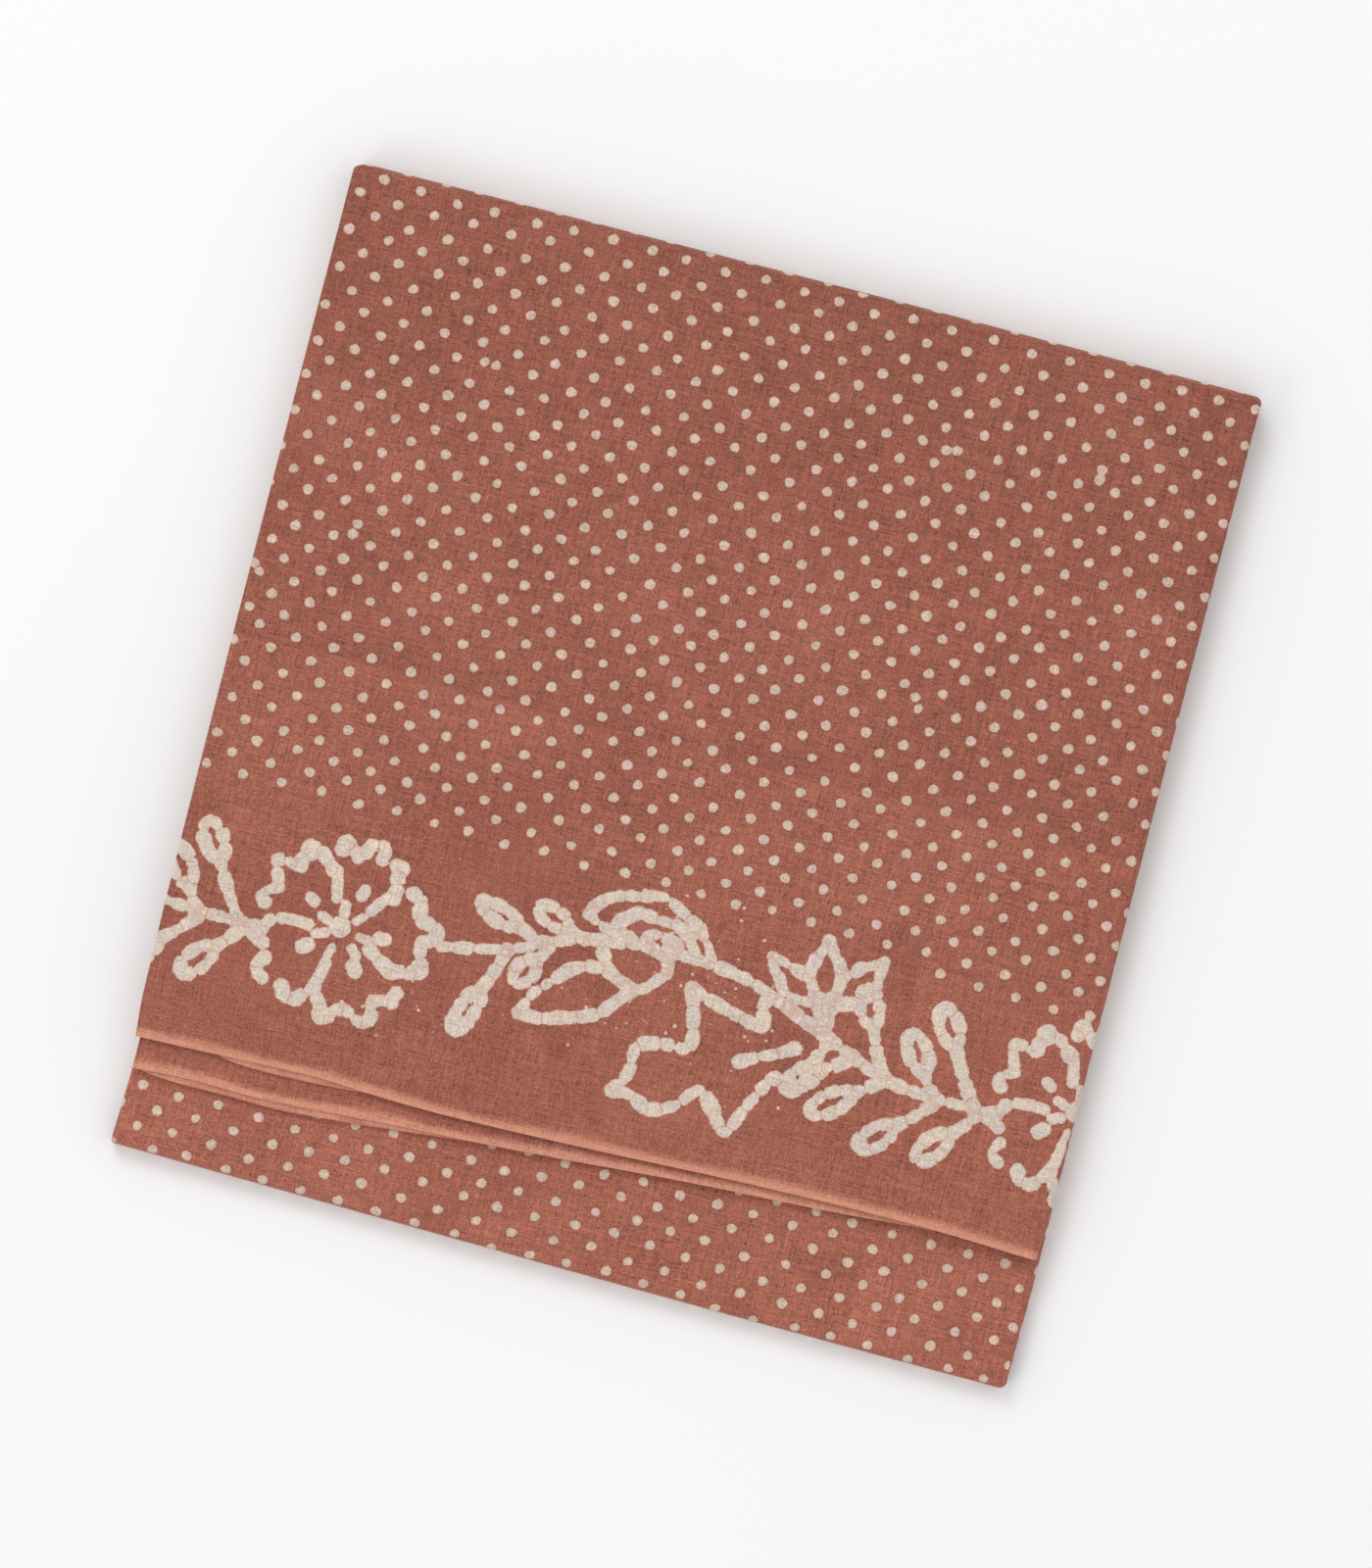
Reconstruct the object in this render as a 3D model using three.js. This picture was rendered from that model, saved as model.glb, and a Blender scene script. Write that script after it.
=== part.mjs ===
// A cotton saree folded for the shelf. The cloth was halved along its length until sixteen layers
// lay on each other, then folded across its width in three: the middle third lies on the table, the
// front third is turned back over it, and the border third comes forward from the back and stops
// short of the front fold.
// Frame, in millimetres: X along the saree's length, with the last halving fold on +X and the open
// side on -X; +Y toward the back fold; Z up from the table. The origin is under the middle of the box.
import * as THREE from "three";

// ---- driving dimensions ----
const PANEL_WALL = 1.4; // a stretch of several cloth layers that lie as one
const RIM = PANEL_WALL / 2; // how far a panel's rounded rim reaches past its faces
const EDGE_WALL = 1.0; // the thin layers that peep out between two stretches
const CORE_HEIGHT = 6.2; // the hidden layers of the lower two thirds
const SEAM = 0.3; // clearance between neighbouring pieces

// Where the underside of each stretch lies, from the table up.
const CORE_BASE = PANEL_WALL + SEAM;
const CORE_TOP = CORE_BASE + CORE_HEIGHT;
const FRONT_BASE = CORE_TOP + SEAM;
const FRONT_TOP = FRONT_BASE + PANEL_WALL;
const LOWER_LAYERS_BASE = FRONT_TOP + SEAM;
const SECOND_BASE = LOWER_LAYERS_BASE + EDGE_WALL + SEAM;
const UPPER_LAYERS_BASE = SECOND_BASE + PANEL_WALL + SEAM;
const TOP_BASE = UPPER_LAYERS_BASE + EDGE_WALL + SEAM;
const FULL_HEIGHT = TOP_BASE + PANEL_WALL;

// The two cross folds: which way each faces, how far it bulges and how high it stands.
const BACK_FOLD = { side: 1, column: "back", depth: 3.8, height: FULL_HEIGHT };
const FRONT_FOLD = { side: -1, column: "front", depth: 3, height: FRONT_TOP };
const SQUARENESS = 0.8; // 1 bends a fold as an ellipse, and less presses its face flatter
const FOLD_TAIL = 8; // a fold's cloth runs on under the stack by this much
const BULB_DEPTH = 4; // the hidden layers fill the back fold to this far in front of its bulge

// The halving folds at the right, each a roll of cloth.
const ROLL_DEPTH = 2.4;
const ROLL_TURN = (160 * Math.PI) / 180;
const ROLL_FADE = 16; // a roll is pressed flat over this length before a cross fold
const LOWER_ROLL_HEIGHT = (FRONT_TOP - SEAM) / 2;

// The side edges seen from above, each row at a place along Y. The border third stands a little
// proud of the stack on the open side.
const FLAP_SIDES = [
  { y: -148, left: -177.6, right: 176.9 },
  { y: -130, left: -178.8, right: 178.2 },
  { y: -60, left: -179.4, right: 178.4 },
  { y: 60, left: -179.4, right: 178.6 },
  { y: 198, left: -178.8, right: 179.5 },
];
const STACK_SIDES = [
  { y: -198, left: -177.4, right: 177.9 },
  { y: -150, left: -175.8, right: 178.7 },
  { y: 0, left: -176.8, right: 177.4 },
  { y: 198, left: -177.4, right: 177.6 },
];
// The cross folds run slightly askew.
const FOLD_LINES = [
  { x: -180, back: 197.0, front: -190.0 },
  { x: -60, back: 196.8, front: -192.9 },
  { x: 60, back: 196.3, front: -195.4 },
  { x: 180, back: 195.0, front: -197.1 },
];
// The border third's free lower edges: selvedges that lie in two bunches, with thin layers that
// peep out under each on the left. They close up toward the halving fold.
const TOP_LIP = [
  { x: -180, y: -148.0 },
  { x: -143, y: -147.0 },
  { x: -108, y: -146.1 },
  { x: -84, y: -147.3 },
  { x: -56, y: -148.0 },
  { x: 2, y: -146.8 },
  { x: 60, y: -144.8 },
  { x: 125, y: -144.1 },
  { x: 180, y: -146.1 },
];
const UPPER_LAYERS_LIP = [
  { x: -180, y: -144.0 },
  { x: -150, y: -145.6 },
  { x: -140, y: -148.3 },
  { x: -118, y: -148.8 },
  { x: -100, y: -148.1 },
  { x: -82, y: -146.6 },
  { x: -56, y: -144.0 },
  { x: 180, y: -142.0 },
];
const SECOND_LIP = [
  { x: -180, y: -160.4 },
  { x: -156, y: -159.0 },
  { x: -126, y: -159.4 },
  { x: -80, y: -157.0 },
  { x: -26, y: -154.4 },
  { x: 39, y: -150.1 },
  { x: 98, y: -147.2 },
  { x: 135, y: -144.6 },
  { x: 180, y: -142.0 },
];
const LOWER_LAYERS_LIP = [
  { x: -180, y: -157.0 },
  { x: -168, y: -160.8 },
  { x: -136, y: -161.5 },
  { x: -117, y: -161.8 },
  { x: -80, y: -159.0 },
  { x: -31, y: -154.0 },
  { x: 20, y: -148.2 },
  { x: 180, y: -141.0 },
];

// Old fold lines that cross the top stretch, each a soft trough.
const CREASE_DEPTH = 0.4;
const CREASE_WIDTH = 4;
const CREASE_PROFILE = [-1.8, -0.7, 0, 0.7, 1.8]; // rows across a trough, in widths from its middle
const CROSSWISE_CREASE_Y = 10.4;
const LENGTHWISE_CREASE_X = 108;

// Corners in plan: how far each is cut back along the cross fold, and how far across it.
const FLAP_CORNERS = { left: { along: 8, across: 3.5 }, right: { along: 3, across: 3 } };
const FRONT_CORNERS = { left: { along: 1.5, across: 1.5 }, right: { along: 3.2, across: 3.2 } };

// The hidden layers show on the open side as bunches with a groove between, from the table up. The
// last four fill the back fold.
const CORE_BUNCHES = [1.7, 0.8, 0.6, 0.6, 0.8, 1.7, 1.5, 1.5, 1.5, 1.5];
const CORE_GROOVE = 0.8;
const CORE_SETBACK = 0.5;
const CORE_CORNER = 2.5;

// ---- how finely the walls are divided ----
const ALONG_STEPS = 18; // columns of a panel along X
const LIP_STEPS = 36; // columns of the stretches between the bunches
const INNER_ROWS = [0, 0.04, 0.5, 1]; // their rows, as parts of the way from the lip to the back
const ROLL_STEPS = 6; // columns round a roll
const FADE_STEPS = 3; // rows where a roll is pressed flat
const FOLD_STEPS = 8; // rows round a cross fold
const CORE_SIDE_STEPS = 8; // points along each side of the core
const CORE_CORNER_STEPS = 3; // points round each corner of it
const BUNCH_SHARES = [0.06, 0.5, 0.94]; // levels of one bunch, as parts of its height

// ---- curves ----
const steps = (n, from, to) => Array.from({ length: n + 1 }, (_, i) => from + ((to - from) * i) / n);
const clamp = THREE.MathUtils.clamp;
const mix = THREE.MathUtils.lerp;
const smooth = (t) => THREE.MathUtils.smoothstep(t, 0, 1);

// The value of one column of a table at a place along another, on a smooth curve through its rows.
function along(table, key, place, column) {
  const last = table.length - 1;
  if (place <= table[0][key]) return table[0][column];
  if (place >= table[last][key]) return table[last][column];
  const i = table.findIndex((row) => row[key] > place) - 1;
  const slope = (k) => {
    const before = table[Math.max(k - 1, 0)];
    const after = table[Math.min(k + 1, last)];
    return (after[column] - before[column]) / (after[key] - before[key]);
  };
  const span = table[i + 1][key] - table[i][key];
  const t = (place - table[i][key]) / span;
  return (
    table[i][column] * (1 + 2 * t) * (1 - t) ** 2 +
    slope(i) * span * t * (1 - t) ** 2 +
    table[i + 1][column] * t * t * (3 - 2 * t) +
    slope(i + 1) * span * t * t * (t - 1)
  );
}
const foldLine = (fold, x) => along(FOLD_LINES, "x", x, fold.column);
const bendLine = (fold, x) => foldLine(fold, x) - fold.side * fold.depth;
const sideEdge = (sides, side, y) => along(sides, "y", y, side);
const lipLine = (lip) => (x) => along(lip, "x", x, "y");
// Where the stretches hidden in the stack end, just in front of the bulb in the back fold.
const hiddenEnd = (x) => bendLine(BACK_FOLD, x) - BULB_DEPTH - SEAM;

// How far a side edge stands back at a distance from the fold line, so that the corner is round.
function cornerInset(corner, distance) {
  const t = 1 - clamp(distance / corner.across, 0, 1);
  return corner.along * (1 - Math.sqrt(1 - t * t));
}

// A pressed half turn: how far out and how high its cloth lies, as parts of its depth and half height.
const foldOut = (turn) => Math.sin(turn) ** SQUARENESS;
const foldRise = (turn) => Math.sign(Math.cos(turn)) * Math.abs(Math.cos(turn)) ** SQUARENESS;

// Where a point s of the way round a roll lies, from where the roll starts: bulge is how far out,
// and turned how far from the face that it leaves. open is 0 where the roll is pressed flat, inset
// is the depth below the outer face, and half is half the roll's height.
function rollAt(s, open, inset, half) {
  const turn = s * ROLL_TURN * open;
  return {
    bulge: mix((ROLL_DEPTH - RIM) * s, (ROLL_DEPTH - inset) * Math.sin(turn), open),
    turned: open * (half - inset) * (1 - Math.cos(turn)),
  };
}
// The columns of a panel: across is the share of its width, and roll the share of the way round.
const panelColumns = (extra = []) => [
  ...[...steps(ALONG_STEPS, 0, 1), ...extra].sort((a, b) => a - b).map((across) => ({ across, roll: 0 })),
  ...steps(ROLL_STEPS, 0, 1).slice(1).map((roll) => ({ across: 1, roll })),
];

// ---- solids ----
function solid(positions, triangles) {
  return new THREE.BufferGeometry()
    .setAttribute("position", new THREE.Float32BufferAttribute(positions, 3))
    .setIndex(triangles);
}

// A closed wall between two grids of points: rows run toward +Y and columns toward +X. A line of
// points halfway through the wall rounds its rim.
function wall(upper, lower) {
  const rows = upper.length;
  const columns = upper[0].length;
  const positions = [];
  const triangles = [];
  const add = (p) => positions.push(p.x, p.y, p.z) / 3 - 1;
  const quad = (a, b, c, d) => triangles.push(a, b, c, a, c, d);
  const top = upper.map((row) => row.map(add));
  const bottom = lower.map((row) => row.map(add));
  for (let j = 0; j + 1 < rows; j++) {
    for (let i = 0; i + 1 < columns; i++) {
      quad(top[j][i], top[j][i + 1], top[j + 1][i + 1], top[j + 1][i]);
      quad(bottom[j][i], bottom[j + 1][i], bottom[j + 1][i + 1], bottom[j][i + 1]);
    }
  }
  const rim = [];
  for (let i = 0; i < columns - 1; i++) rim.push([0, i]);
  for (let j = 0; j < rows - 1; j++) rim.push([j, columns - 1]);
  for (let i = columns - 1; i > 0; i--) rim.push([rows - 1, i]);
  for (let j = rows - 1; j > 0; j--) rim.push([j, 0]);
  const middle = (j, i) => upper[j][i].clone().lerp(lower[j][i], 0.5);
  const crest = rim.map(([j, i]) => {
    const inland = middle(clamp(j, 1, rows - 2), clamp(i, 1, columns - 2));
    const outward = middle(j, i).sub(inland).normalize();
    return add(middle(j, i).addScaledVector(outward, upper[j][i].distanceTo(lower[j][i]) / 2));
  });
  rim.forEach(([j, i], k) => {
    const n = (k + 1) % rim.length;
    const [nextRow, nextColumn] = rim[n];
    quad(crest[k], crest[n], top[nextRow][nextColumn], top[j][i]);
    quad(bottom[j][i], bottom[nextRow][nextColumn], crest[n], crest[k]);
  });
  return solid(positions, triangles);
}

// A stretch that runs from a free edge to a cross fold, round it and on under the stack, and rolls
// round the halving fold at its right down to rollBottom. shares are its flat rows, as parts of the
// way to the fold, and dip is how deep its outer face is dented at a place.
function foldedStretch({ edge, fold, sides, corners, shares, columns, rollBottom, dip }) {
  const { side, depth, height } = fold;
  const bend = (x) => bendLine(fold, x);
  const rows = shares.map((share) => ({ turn: 0, y: (x) => mix(edge(x), bend(x), share) }));
  for (const turn of steps(FOLD_STEPS, 0, Math.PI)) rows.push({ turn, y: bend });
  rows.push({ turn: Math.PI, y: (x) => bend(x) - side * FOLD_TAIL });
  const half = (height - rollBottom) / 2;
  const point = (row, { across, roll }, inset) => {
    const guess = mix(sides[0].left, sides[0].right, across);
    const reach = row.y(guess) + side * depth * foldOut(row.turn);
    const distance = side * (foldLine(fold, guess) - reach);
    const left = sideEdge(sides, "left", reach) + cornerInset(corners.left, distance) + RIM;
    const right = sideEdge(sides, "right", reach) - cornerInset(corners.right, distance) - ROLL_DEPTH;
    const x = mix(left, right, across);
    const y = row.y(x) + side * (depth - inset) * foldOut(row.turn);
    const open = row.turn === 0 ? smooth((distance - depth) / ROLL_FADE) : 0;
    const { bulge, turned } = rollAt(roll, open, inset, half);
    const dent = inset === 0 && row.turn === 0 ? dip(x, y) : 0;
    const z = height / 2 + (height / 2 - inset) * foldRise(row.turn) - turned - dent;
    return new THREE.Vector3(x + bulge, y, z);
  };
  const face = (inset) => rows.map((row) => columns.map((column) => point(row, column, inset)));
  const [outer, inner] = [face(0), face(PANEL_WALL)];
  return side > 0 ? wall(outer, inner) : wall(outer.reverse(), inner.reverse());
}

// Rows that follow a panel's shape, and rows where its roll is pressed flat before the fold.
function panelShares(length, extra = []) {
  const fade = steps(FADE_STEPS, 1 - ROLL_FADE / length, 1).slice(0, -1);
  return [...steps(4, 0, 1).slice(0, -1), ...fade, ...extra].sort((a, b) => a - b);
}

// The border third's uppermost layers, with the vine border near their lip.
function topStretch() {
  const edge = (x) => lipLine(TOP_LIP)(x) + RIM;
  const length = bendLine(BACK_FOLD, 0) - edge(0);
  const creaseY = CROSSWISE_CREASE_Y - edge(0);
  const creaseRows = CREASE_PROFILE.map((k) => (creaseY + k * CREASE_WIDTH) / length);
  const leftEnd = sideEdge(FLAP_SIDES, "left", 0) + RIM;
  const width = sideEdge(FLAP_SIDES, "right", 0) - ROLL_DEPTH - leftEnd;
  const creaseX = LENGTHWISE_CREASE_X - leftEnd;
  const creaseColumns = CREASE_PROFILE.map((k) => (creaseX + k * CREASE_WIDTH) / width);
  const trough = (offset) => CREASE_DEPTH * Math.exp(-((offset / CREASE_WIDTH) ** 2));
  return foldedStretch({
    edge,
    fold: BACK_FOLD,
    sides: FLAP_SIDES,
    corners: FLAP_CORNERS,
    shares: panelShares(length, creaseRows),
    columns: panelColumns(creaseColumns),
    rollBottom: LOWER_LAYERS_BASE,
    dip: (x, y) => Math.max(trough(y - CROSSWISE_CREASE_Y), trough(x - LENGTHWISE_CREASE_X)),
  });
}

// The front third's upper layers: the strip with rows of dots, its fold, and what the border covers.
function frontStretch() {
  const edge = (x) => hiddenEnd(x) - RIM;
  return foldedStretch({
    edge,
    fold: FRONT_FOLD,
    sides: STACK_SIDES,
    corners: FRONT_CORNERS,
    shares: panelShares(edge(0) - bendLine(FRONT_FOLD, 0)),
    columns: panelColumns(),
    rollBottom: FRONT_TOP - LOWER_ROLL_HEIGHT,
    dip: () => 0,
  });
}

// A stretch inside the border third, from its lip to where the back fold starts.
function innerStretch({ lip, base, thickness }) {
  const rim = thickness / 2;
  const lineAt = (x, share) => mix(lipLine(lip)(x) + rim, hiddenEnd(x) - rim, share);
  const point = (share, across, z) => {
    const y = lineAt(mix(STACK_SIDES[0].left, STACK_SIDES[0].right, across), share);
    const left = sideEdge(STACK_SIDES, "left", y) + rim;
    const right = sideEdge(FLAP_SIDES, "right", y) - ROLL_DEPTH - SEAM - rim;
    const x = mix(left, right, across);
    return new THREE.Vector3(x, lineAt(x, share), z);
  };
  const columns = steps(LIP_STEPS, 0, 1);
  const face = (z) => INNER_ROWS.map((share) => columns.map((across) => point(share, across, z)));
  return wall(face(base + thickness), face(base));
}

// The cloth against the table, between the tails of the two cross folds. Its right edge rolls up.
function tableStretch() {
  const end = (fold, x) => bendLine(fold, x) - fold.side * (FOLD_TAIL + PANEL_WALL + SEAM);
  const lineAt = (x, share) => mix(end(FRONT_FOLD, x), end(BACK_FOLD, x), share);
  const length = lineAt(0, 1) - lineAt(0, 0);
  const fade = steps(FADE_STEPS, 0, ROLL_FADE / length);
  const shares = [...fade, ...steps(4, 0, 1).slice(1, -1), ...fade.map((share) => 1 - share).reverse()];
  const point = (share, { across, roll }, inset) => {
    const y = lineAt(0, share);
    const left = sideEdge(STACK_SIDES, "left", y) + RIM;
    const x = mix(left, sideEdge(STACK_SIDES, "right", y) - ROLL_DEPTH, across);
    const open = smooth((Math.min(share, 1 - share) * length) / ROLL_FADE);
    const { bulge, turned } = rollAt(roll, open, inset, LOWER_ROLL_HEIGHT / 2);
    return new THREE.Vector3(x + bulge, lineAt(x, share), inset + turned);
  };
  const face = (inset) => shares.map((share) => panelColumns().map((column) => point(share, column, inset)));
  return wall(face(PANEL_WALL), face(0));
}

// Points round a unit square, anticlockwise, its corners rounded by a radius along each side.
function roundedSquare(radiusX, radiusY) {
  const corners = [
    { x: 1, y: 0, from: -Math.PI / 2 },
    { x: 1, y: 1, from: 0 },
    { x: 0, y: 1, from: Math.PI / 2 },
    { x: 0, y: 0, from: Math.PI },
  ];
  return corners.flatMap((corner, k) => {
    const centre = [mix(radiusX, 1 - radiusX, corner.x), mix(radiusY, 1 - radiusY, corner.y)];
    const arc = steps(CORE_CORNER_STEPS, corner.from, corner.from + Math.PI / 2).map((angle) => [
      centre[0] + radiusX * Math.cos(angle),
      centre[1] + radiusY * Math.sin(angle),
    ]);
    const next = corners[(k + 1) % 4];
    const end = arc.at(-1);
    const goal = [
      mix(radiusX, 1 - radiusX, next.x) + radiusX * Math.cos(next.from),
      mix(radiusY, 1 - radiusY, next.y) + radiusY * Math.sin(next.from),
    ];
    const side = steps(CORE_SIDE_STEPS, 0, 1).slice(1, -1);
    return [...arc, ...side.map((t) => [mix(end[0], goal[0], t), mix(end[1], goal[1], t)])];
  });
}

// The hidden layers as one body of stacked outlines, in bunches. A bulb of it fills the back fold.
function core() {
  const insideFold = (fold, z) => {
    const clear = PANEL_WALL + SEAM;
    const level = clamp((z - fold.height / 2) / (fold.height / 2 - clear), -1, 1);
    return fold.depth - (fold.depth - clear) * Math.sqrt(1 - level * level);
  };
  const outline = ({ z, setback, bulb }) => {
    const back = (x) => foldLine(BACK_FOLD, x) - insideFold(BACK_FOLD, z) - setback;
    const front = (x) =>
      bulb
        ? bendLine(BACK_FOLD, x) - BULB_DEPTH
        : foldLine(FRONT_FOLD, x) + insideFold(FRONT_FOLD, z) + setback;
    const width = STACK_SIDES[0].right - STACK_SIDES[0].left;
    const square = roundedSquare(CORE_CORNER / width, CORE_CORNER / (back(0) - front(0)));
    return square.map(([across, share]) => {
      const y = mix(front(0), back(0), share);
      const left = sideEdge(STACK_SIDES, "left", y) + CORE_SETBACK + setback;
      const right = sideEdge(STACK_SIDES, "right", y) - ROLL_DEPTH - CORE_SETBACK;
      const x = mix(left, right, across);
      return new THREE.Vector3(x, mix(front(x), back(x), share), z);
    });
  };
  const levels = [];
  let base = CORE_BASE;
  for (const height of CORE_BUNCHES) {
    const bulb = base > CORE_TOP - SEAM;
    for (const share of BUNCH_SHARES) {
      const setback = CORE_GROOVE * (1 - Math.sqrt(1 - (2 * share - 1) ** 2));
      levels.push({ z: base + height * share, setback: setback + (bulb ? SEAM : 0), bulb });
    }
    base += height;
  }
  return stackedRings(levels.map(outline));
}

// A closed body through outlines from the bottom up, capped by fans.
function stackedRings(rings) {
  const count = rings[0].length;
  const positions = rings.flat().flatMap((p) => [p.x, p.y, p.z]);
  const triangles = [];
  for (let k = 0; k + 1 < rings.length; k++) {
    for (let i = 0; i < count; i++) {
      const next = (i + 1) % count;
      const [a, b, c, d] = [k * count + i, k * count + next, (k + 1) * count + next, (k + 1) * count + i];
      triangles.push(a, b, c, a, c, d);
    }
  }
  const cap = (ring, start, up) => {
    const centre = ring.reduce((sum, p) => sum.add(p), new THREE.Vector3()).divideScalar(count);
    const hub = positions.push(centre.x, centre.y, centre.z) / 3 - 1;
    for (let i = 0; i < count; i++) {
      const [a, b] = [start + i, start + ((i + 1) % count)];
      triangles.push(...(up ? [hub, a, b] : [hub, b, a]));
    }
  };
  cap(rings[0], 0, false);
  cap(rings.at(-1), (rings.length - 1) * count, true);
  return solid(positions, triangles);
}

// ---- the folded saree ----
const DYED = { color: 0x9c6050, roughness: 0.92, metalness: 0 };
const DYED_SHADE = { color: 0x8f574a, roughness: 0.94, metalness: 0 };
const SELVEDGE = { color: 0xcd8269, roughness: 0.9, metalness: 0 };

const lowerLayers = { lip: LOWER_LAYERS_LIP, base: LOWER_LAYERS_BASE, thickness: EDGE_WALL };
const secondFlap = { lip: SECOND_LIP, base: SECOND_BASE, thickness: PANEL_WALL };
const upperLayers = { lip: UPPER_LAYERS_LIP, base: UPPER_LAYERS_BASE, thickness: EDGE_WALL };

const saree = new THREE.Group();
function place(name, geometry, finish) {
  const mesh = new THREE.Mesh(geometry, new THREE.MeshStandardMaterial(finish));
  mesh.name = name;
  saree.add(mesh);
}
place("table_panel", tableStretch(), DYED);
place("folded_core", core(), DYED_SHADE);
place("front_panel", frontStretch(), DYED);
place("lower_edge_layers", innerStretch(lowerLayers), SELVEDGE);
place("second_flap", innerStretch(secondFlap), DYED);
place("upper_edge_layers", innerStretch(upperLayers), SELVEDGE);
place("border_flap", topStretch(), DYED);

export default saree;
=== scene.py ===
"""A folded cotton saree with a waxed and dyed pattern, on a pale studio table.

Sizes are in millimetres until a mesh is made. X runs along the saree's length, with the last halving
fold on +X and the open side on -X. Y points to the back fold, and Z up from the table. A stretch of
cloth is laid out flat first, with s across it and t along it as X and Y on its flat part, and then
placed in its folds.
"""

from __future__ import annotations

import logging
import math
from dataclasses import dataclass, field, replace
from enum import Enum
from typing import Callable, Protocol

import bpy
import numpy as np
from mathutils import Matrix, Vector
from mathutils.geometry import delaunay_2d_cdt
from mathutils.kdtree import KDTree


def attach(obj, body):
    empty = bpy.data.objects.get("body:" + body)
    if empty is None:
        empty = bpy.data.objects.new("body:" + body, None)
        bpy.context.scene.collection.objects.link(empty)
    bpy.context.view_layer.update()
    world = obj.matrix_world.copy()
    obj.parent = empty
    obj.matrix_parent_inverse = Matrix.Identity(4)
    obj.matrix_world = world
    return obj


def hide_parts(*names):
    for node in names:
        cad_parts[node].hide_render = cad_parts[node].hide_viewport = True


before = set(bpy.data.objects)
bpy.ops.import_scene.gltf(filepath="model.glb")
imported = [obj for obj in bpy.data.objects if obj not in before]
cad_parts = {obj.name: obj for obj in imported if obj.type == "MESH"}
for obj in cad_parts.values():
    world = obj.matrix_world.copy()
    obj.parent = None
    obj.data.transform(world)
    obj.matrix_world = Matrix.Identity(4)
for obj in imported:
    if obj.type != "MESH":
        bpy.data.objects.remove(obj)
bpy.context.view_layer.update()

LOG = logging.getLogger("saree")
MM = 0.001
FULL_TURN = 2 * math.pi
Array = np.ndarray
Place = tuple[float, float]
PlanLine = Callable[[Array], Array]


# ---- curves and soft unevenness ----
def smooth(value: Array) -> Array:
    """A soft step from 0 at 0 to 1 at 1."""
    t = np.clip(value, 0.0, 1.0)
    return t * t * (3 - 2 * t)


def mix(start: Array, end: Array, share: Array) -> Array:
    """The value a share of the way from start to end."""
    return start + (end - start) * share


def pairs(x: Array, y: Array) -> Array:
    """Rows of X and Y."""
    return np.column_stack([x, y])


def heading(angle: float) -> Array:
    """A step of length 1 in a direction given in degrees."""
    return np.array([math.cos(math.radians(angle)), math.sin(math.radians(angle))])


def left_of(way: Array) -> Array:
    """A step a quarter turn to the left of another."""
    return np.array([-way[1], way[0]])


@dataclass(frozen=True)
class Line:
    """A smooth line through pairs of place and value."""

    rows: tuple[Place, ...]

    def at(self, place: Array) -> Array:
        """Reads the line, held level past its ends.

        Args:
            place: Where to read it.

        Returns:
            Its values there.
        """
        p, v = np.array(self.rows, float).T
        x = np.clip(np.asarray(place, float), p[0], p[-1])
        before = np.maximum(np.arange(len(p)) - 1, 0)
        after = np.minimum(np.arange(len(p)) + 1, len(p) - 1)
        slope = (v[after] - v[before]) / (p[after] - p[before])
        i = np.clip(np.searchsorted(p, x, side="right") - 1, 0, len(p) - 2)
        span = p[i + 1] - p[i]
        t = (x - p[i]) / span
        start = v[i] * (1 + 2 * t) * (1 - t) ** 2 + slope[i] * span * t * (1 - t) ** 2
        return start + v[i + 1] * t * t * (3 - 2 * t) + slope[i + 1] * span * t * t * (t - 1)


@dataclass(frozen=True)
class Swell:
    """A soft uneven value over the cloth, a sum of plane waves with seeded directions."""

    size: float
    wavelength: float
    seed: int
    waves: int = 6

    def at(self, x: Array, y: Array) -> Array:
        """Reads the value at places on the cloth.

        Args:
            x: Places along X.
            y: Places along Y.

        Returns:
            Values mostly within plus and minus size.
        """
        rng = np.random.default_rng(self.seed)
        total = np.zeros(np.broadcast(x, y).shape)
        for _ in range(self.waves):
            angle, phase = rng.uniform(0, FULL_TURN, 2)
            pitch = FULL_TURN / (self.wavelength * rng.uniform(0.7, 1.5))
            total += np.sin(pitch * (x * math.cos(angle) + y * math.sin(angle)) + phase)
        return self.size * total / math.sqrt(self.waves)

    def along(self, run: Array) -> Array:
        """Reads the value along a line."""
        return self.at(run, 0 * run)


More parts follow.
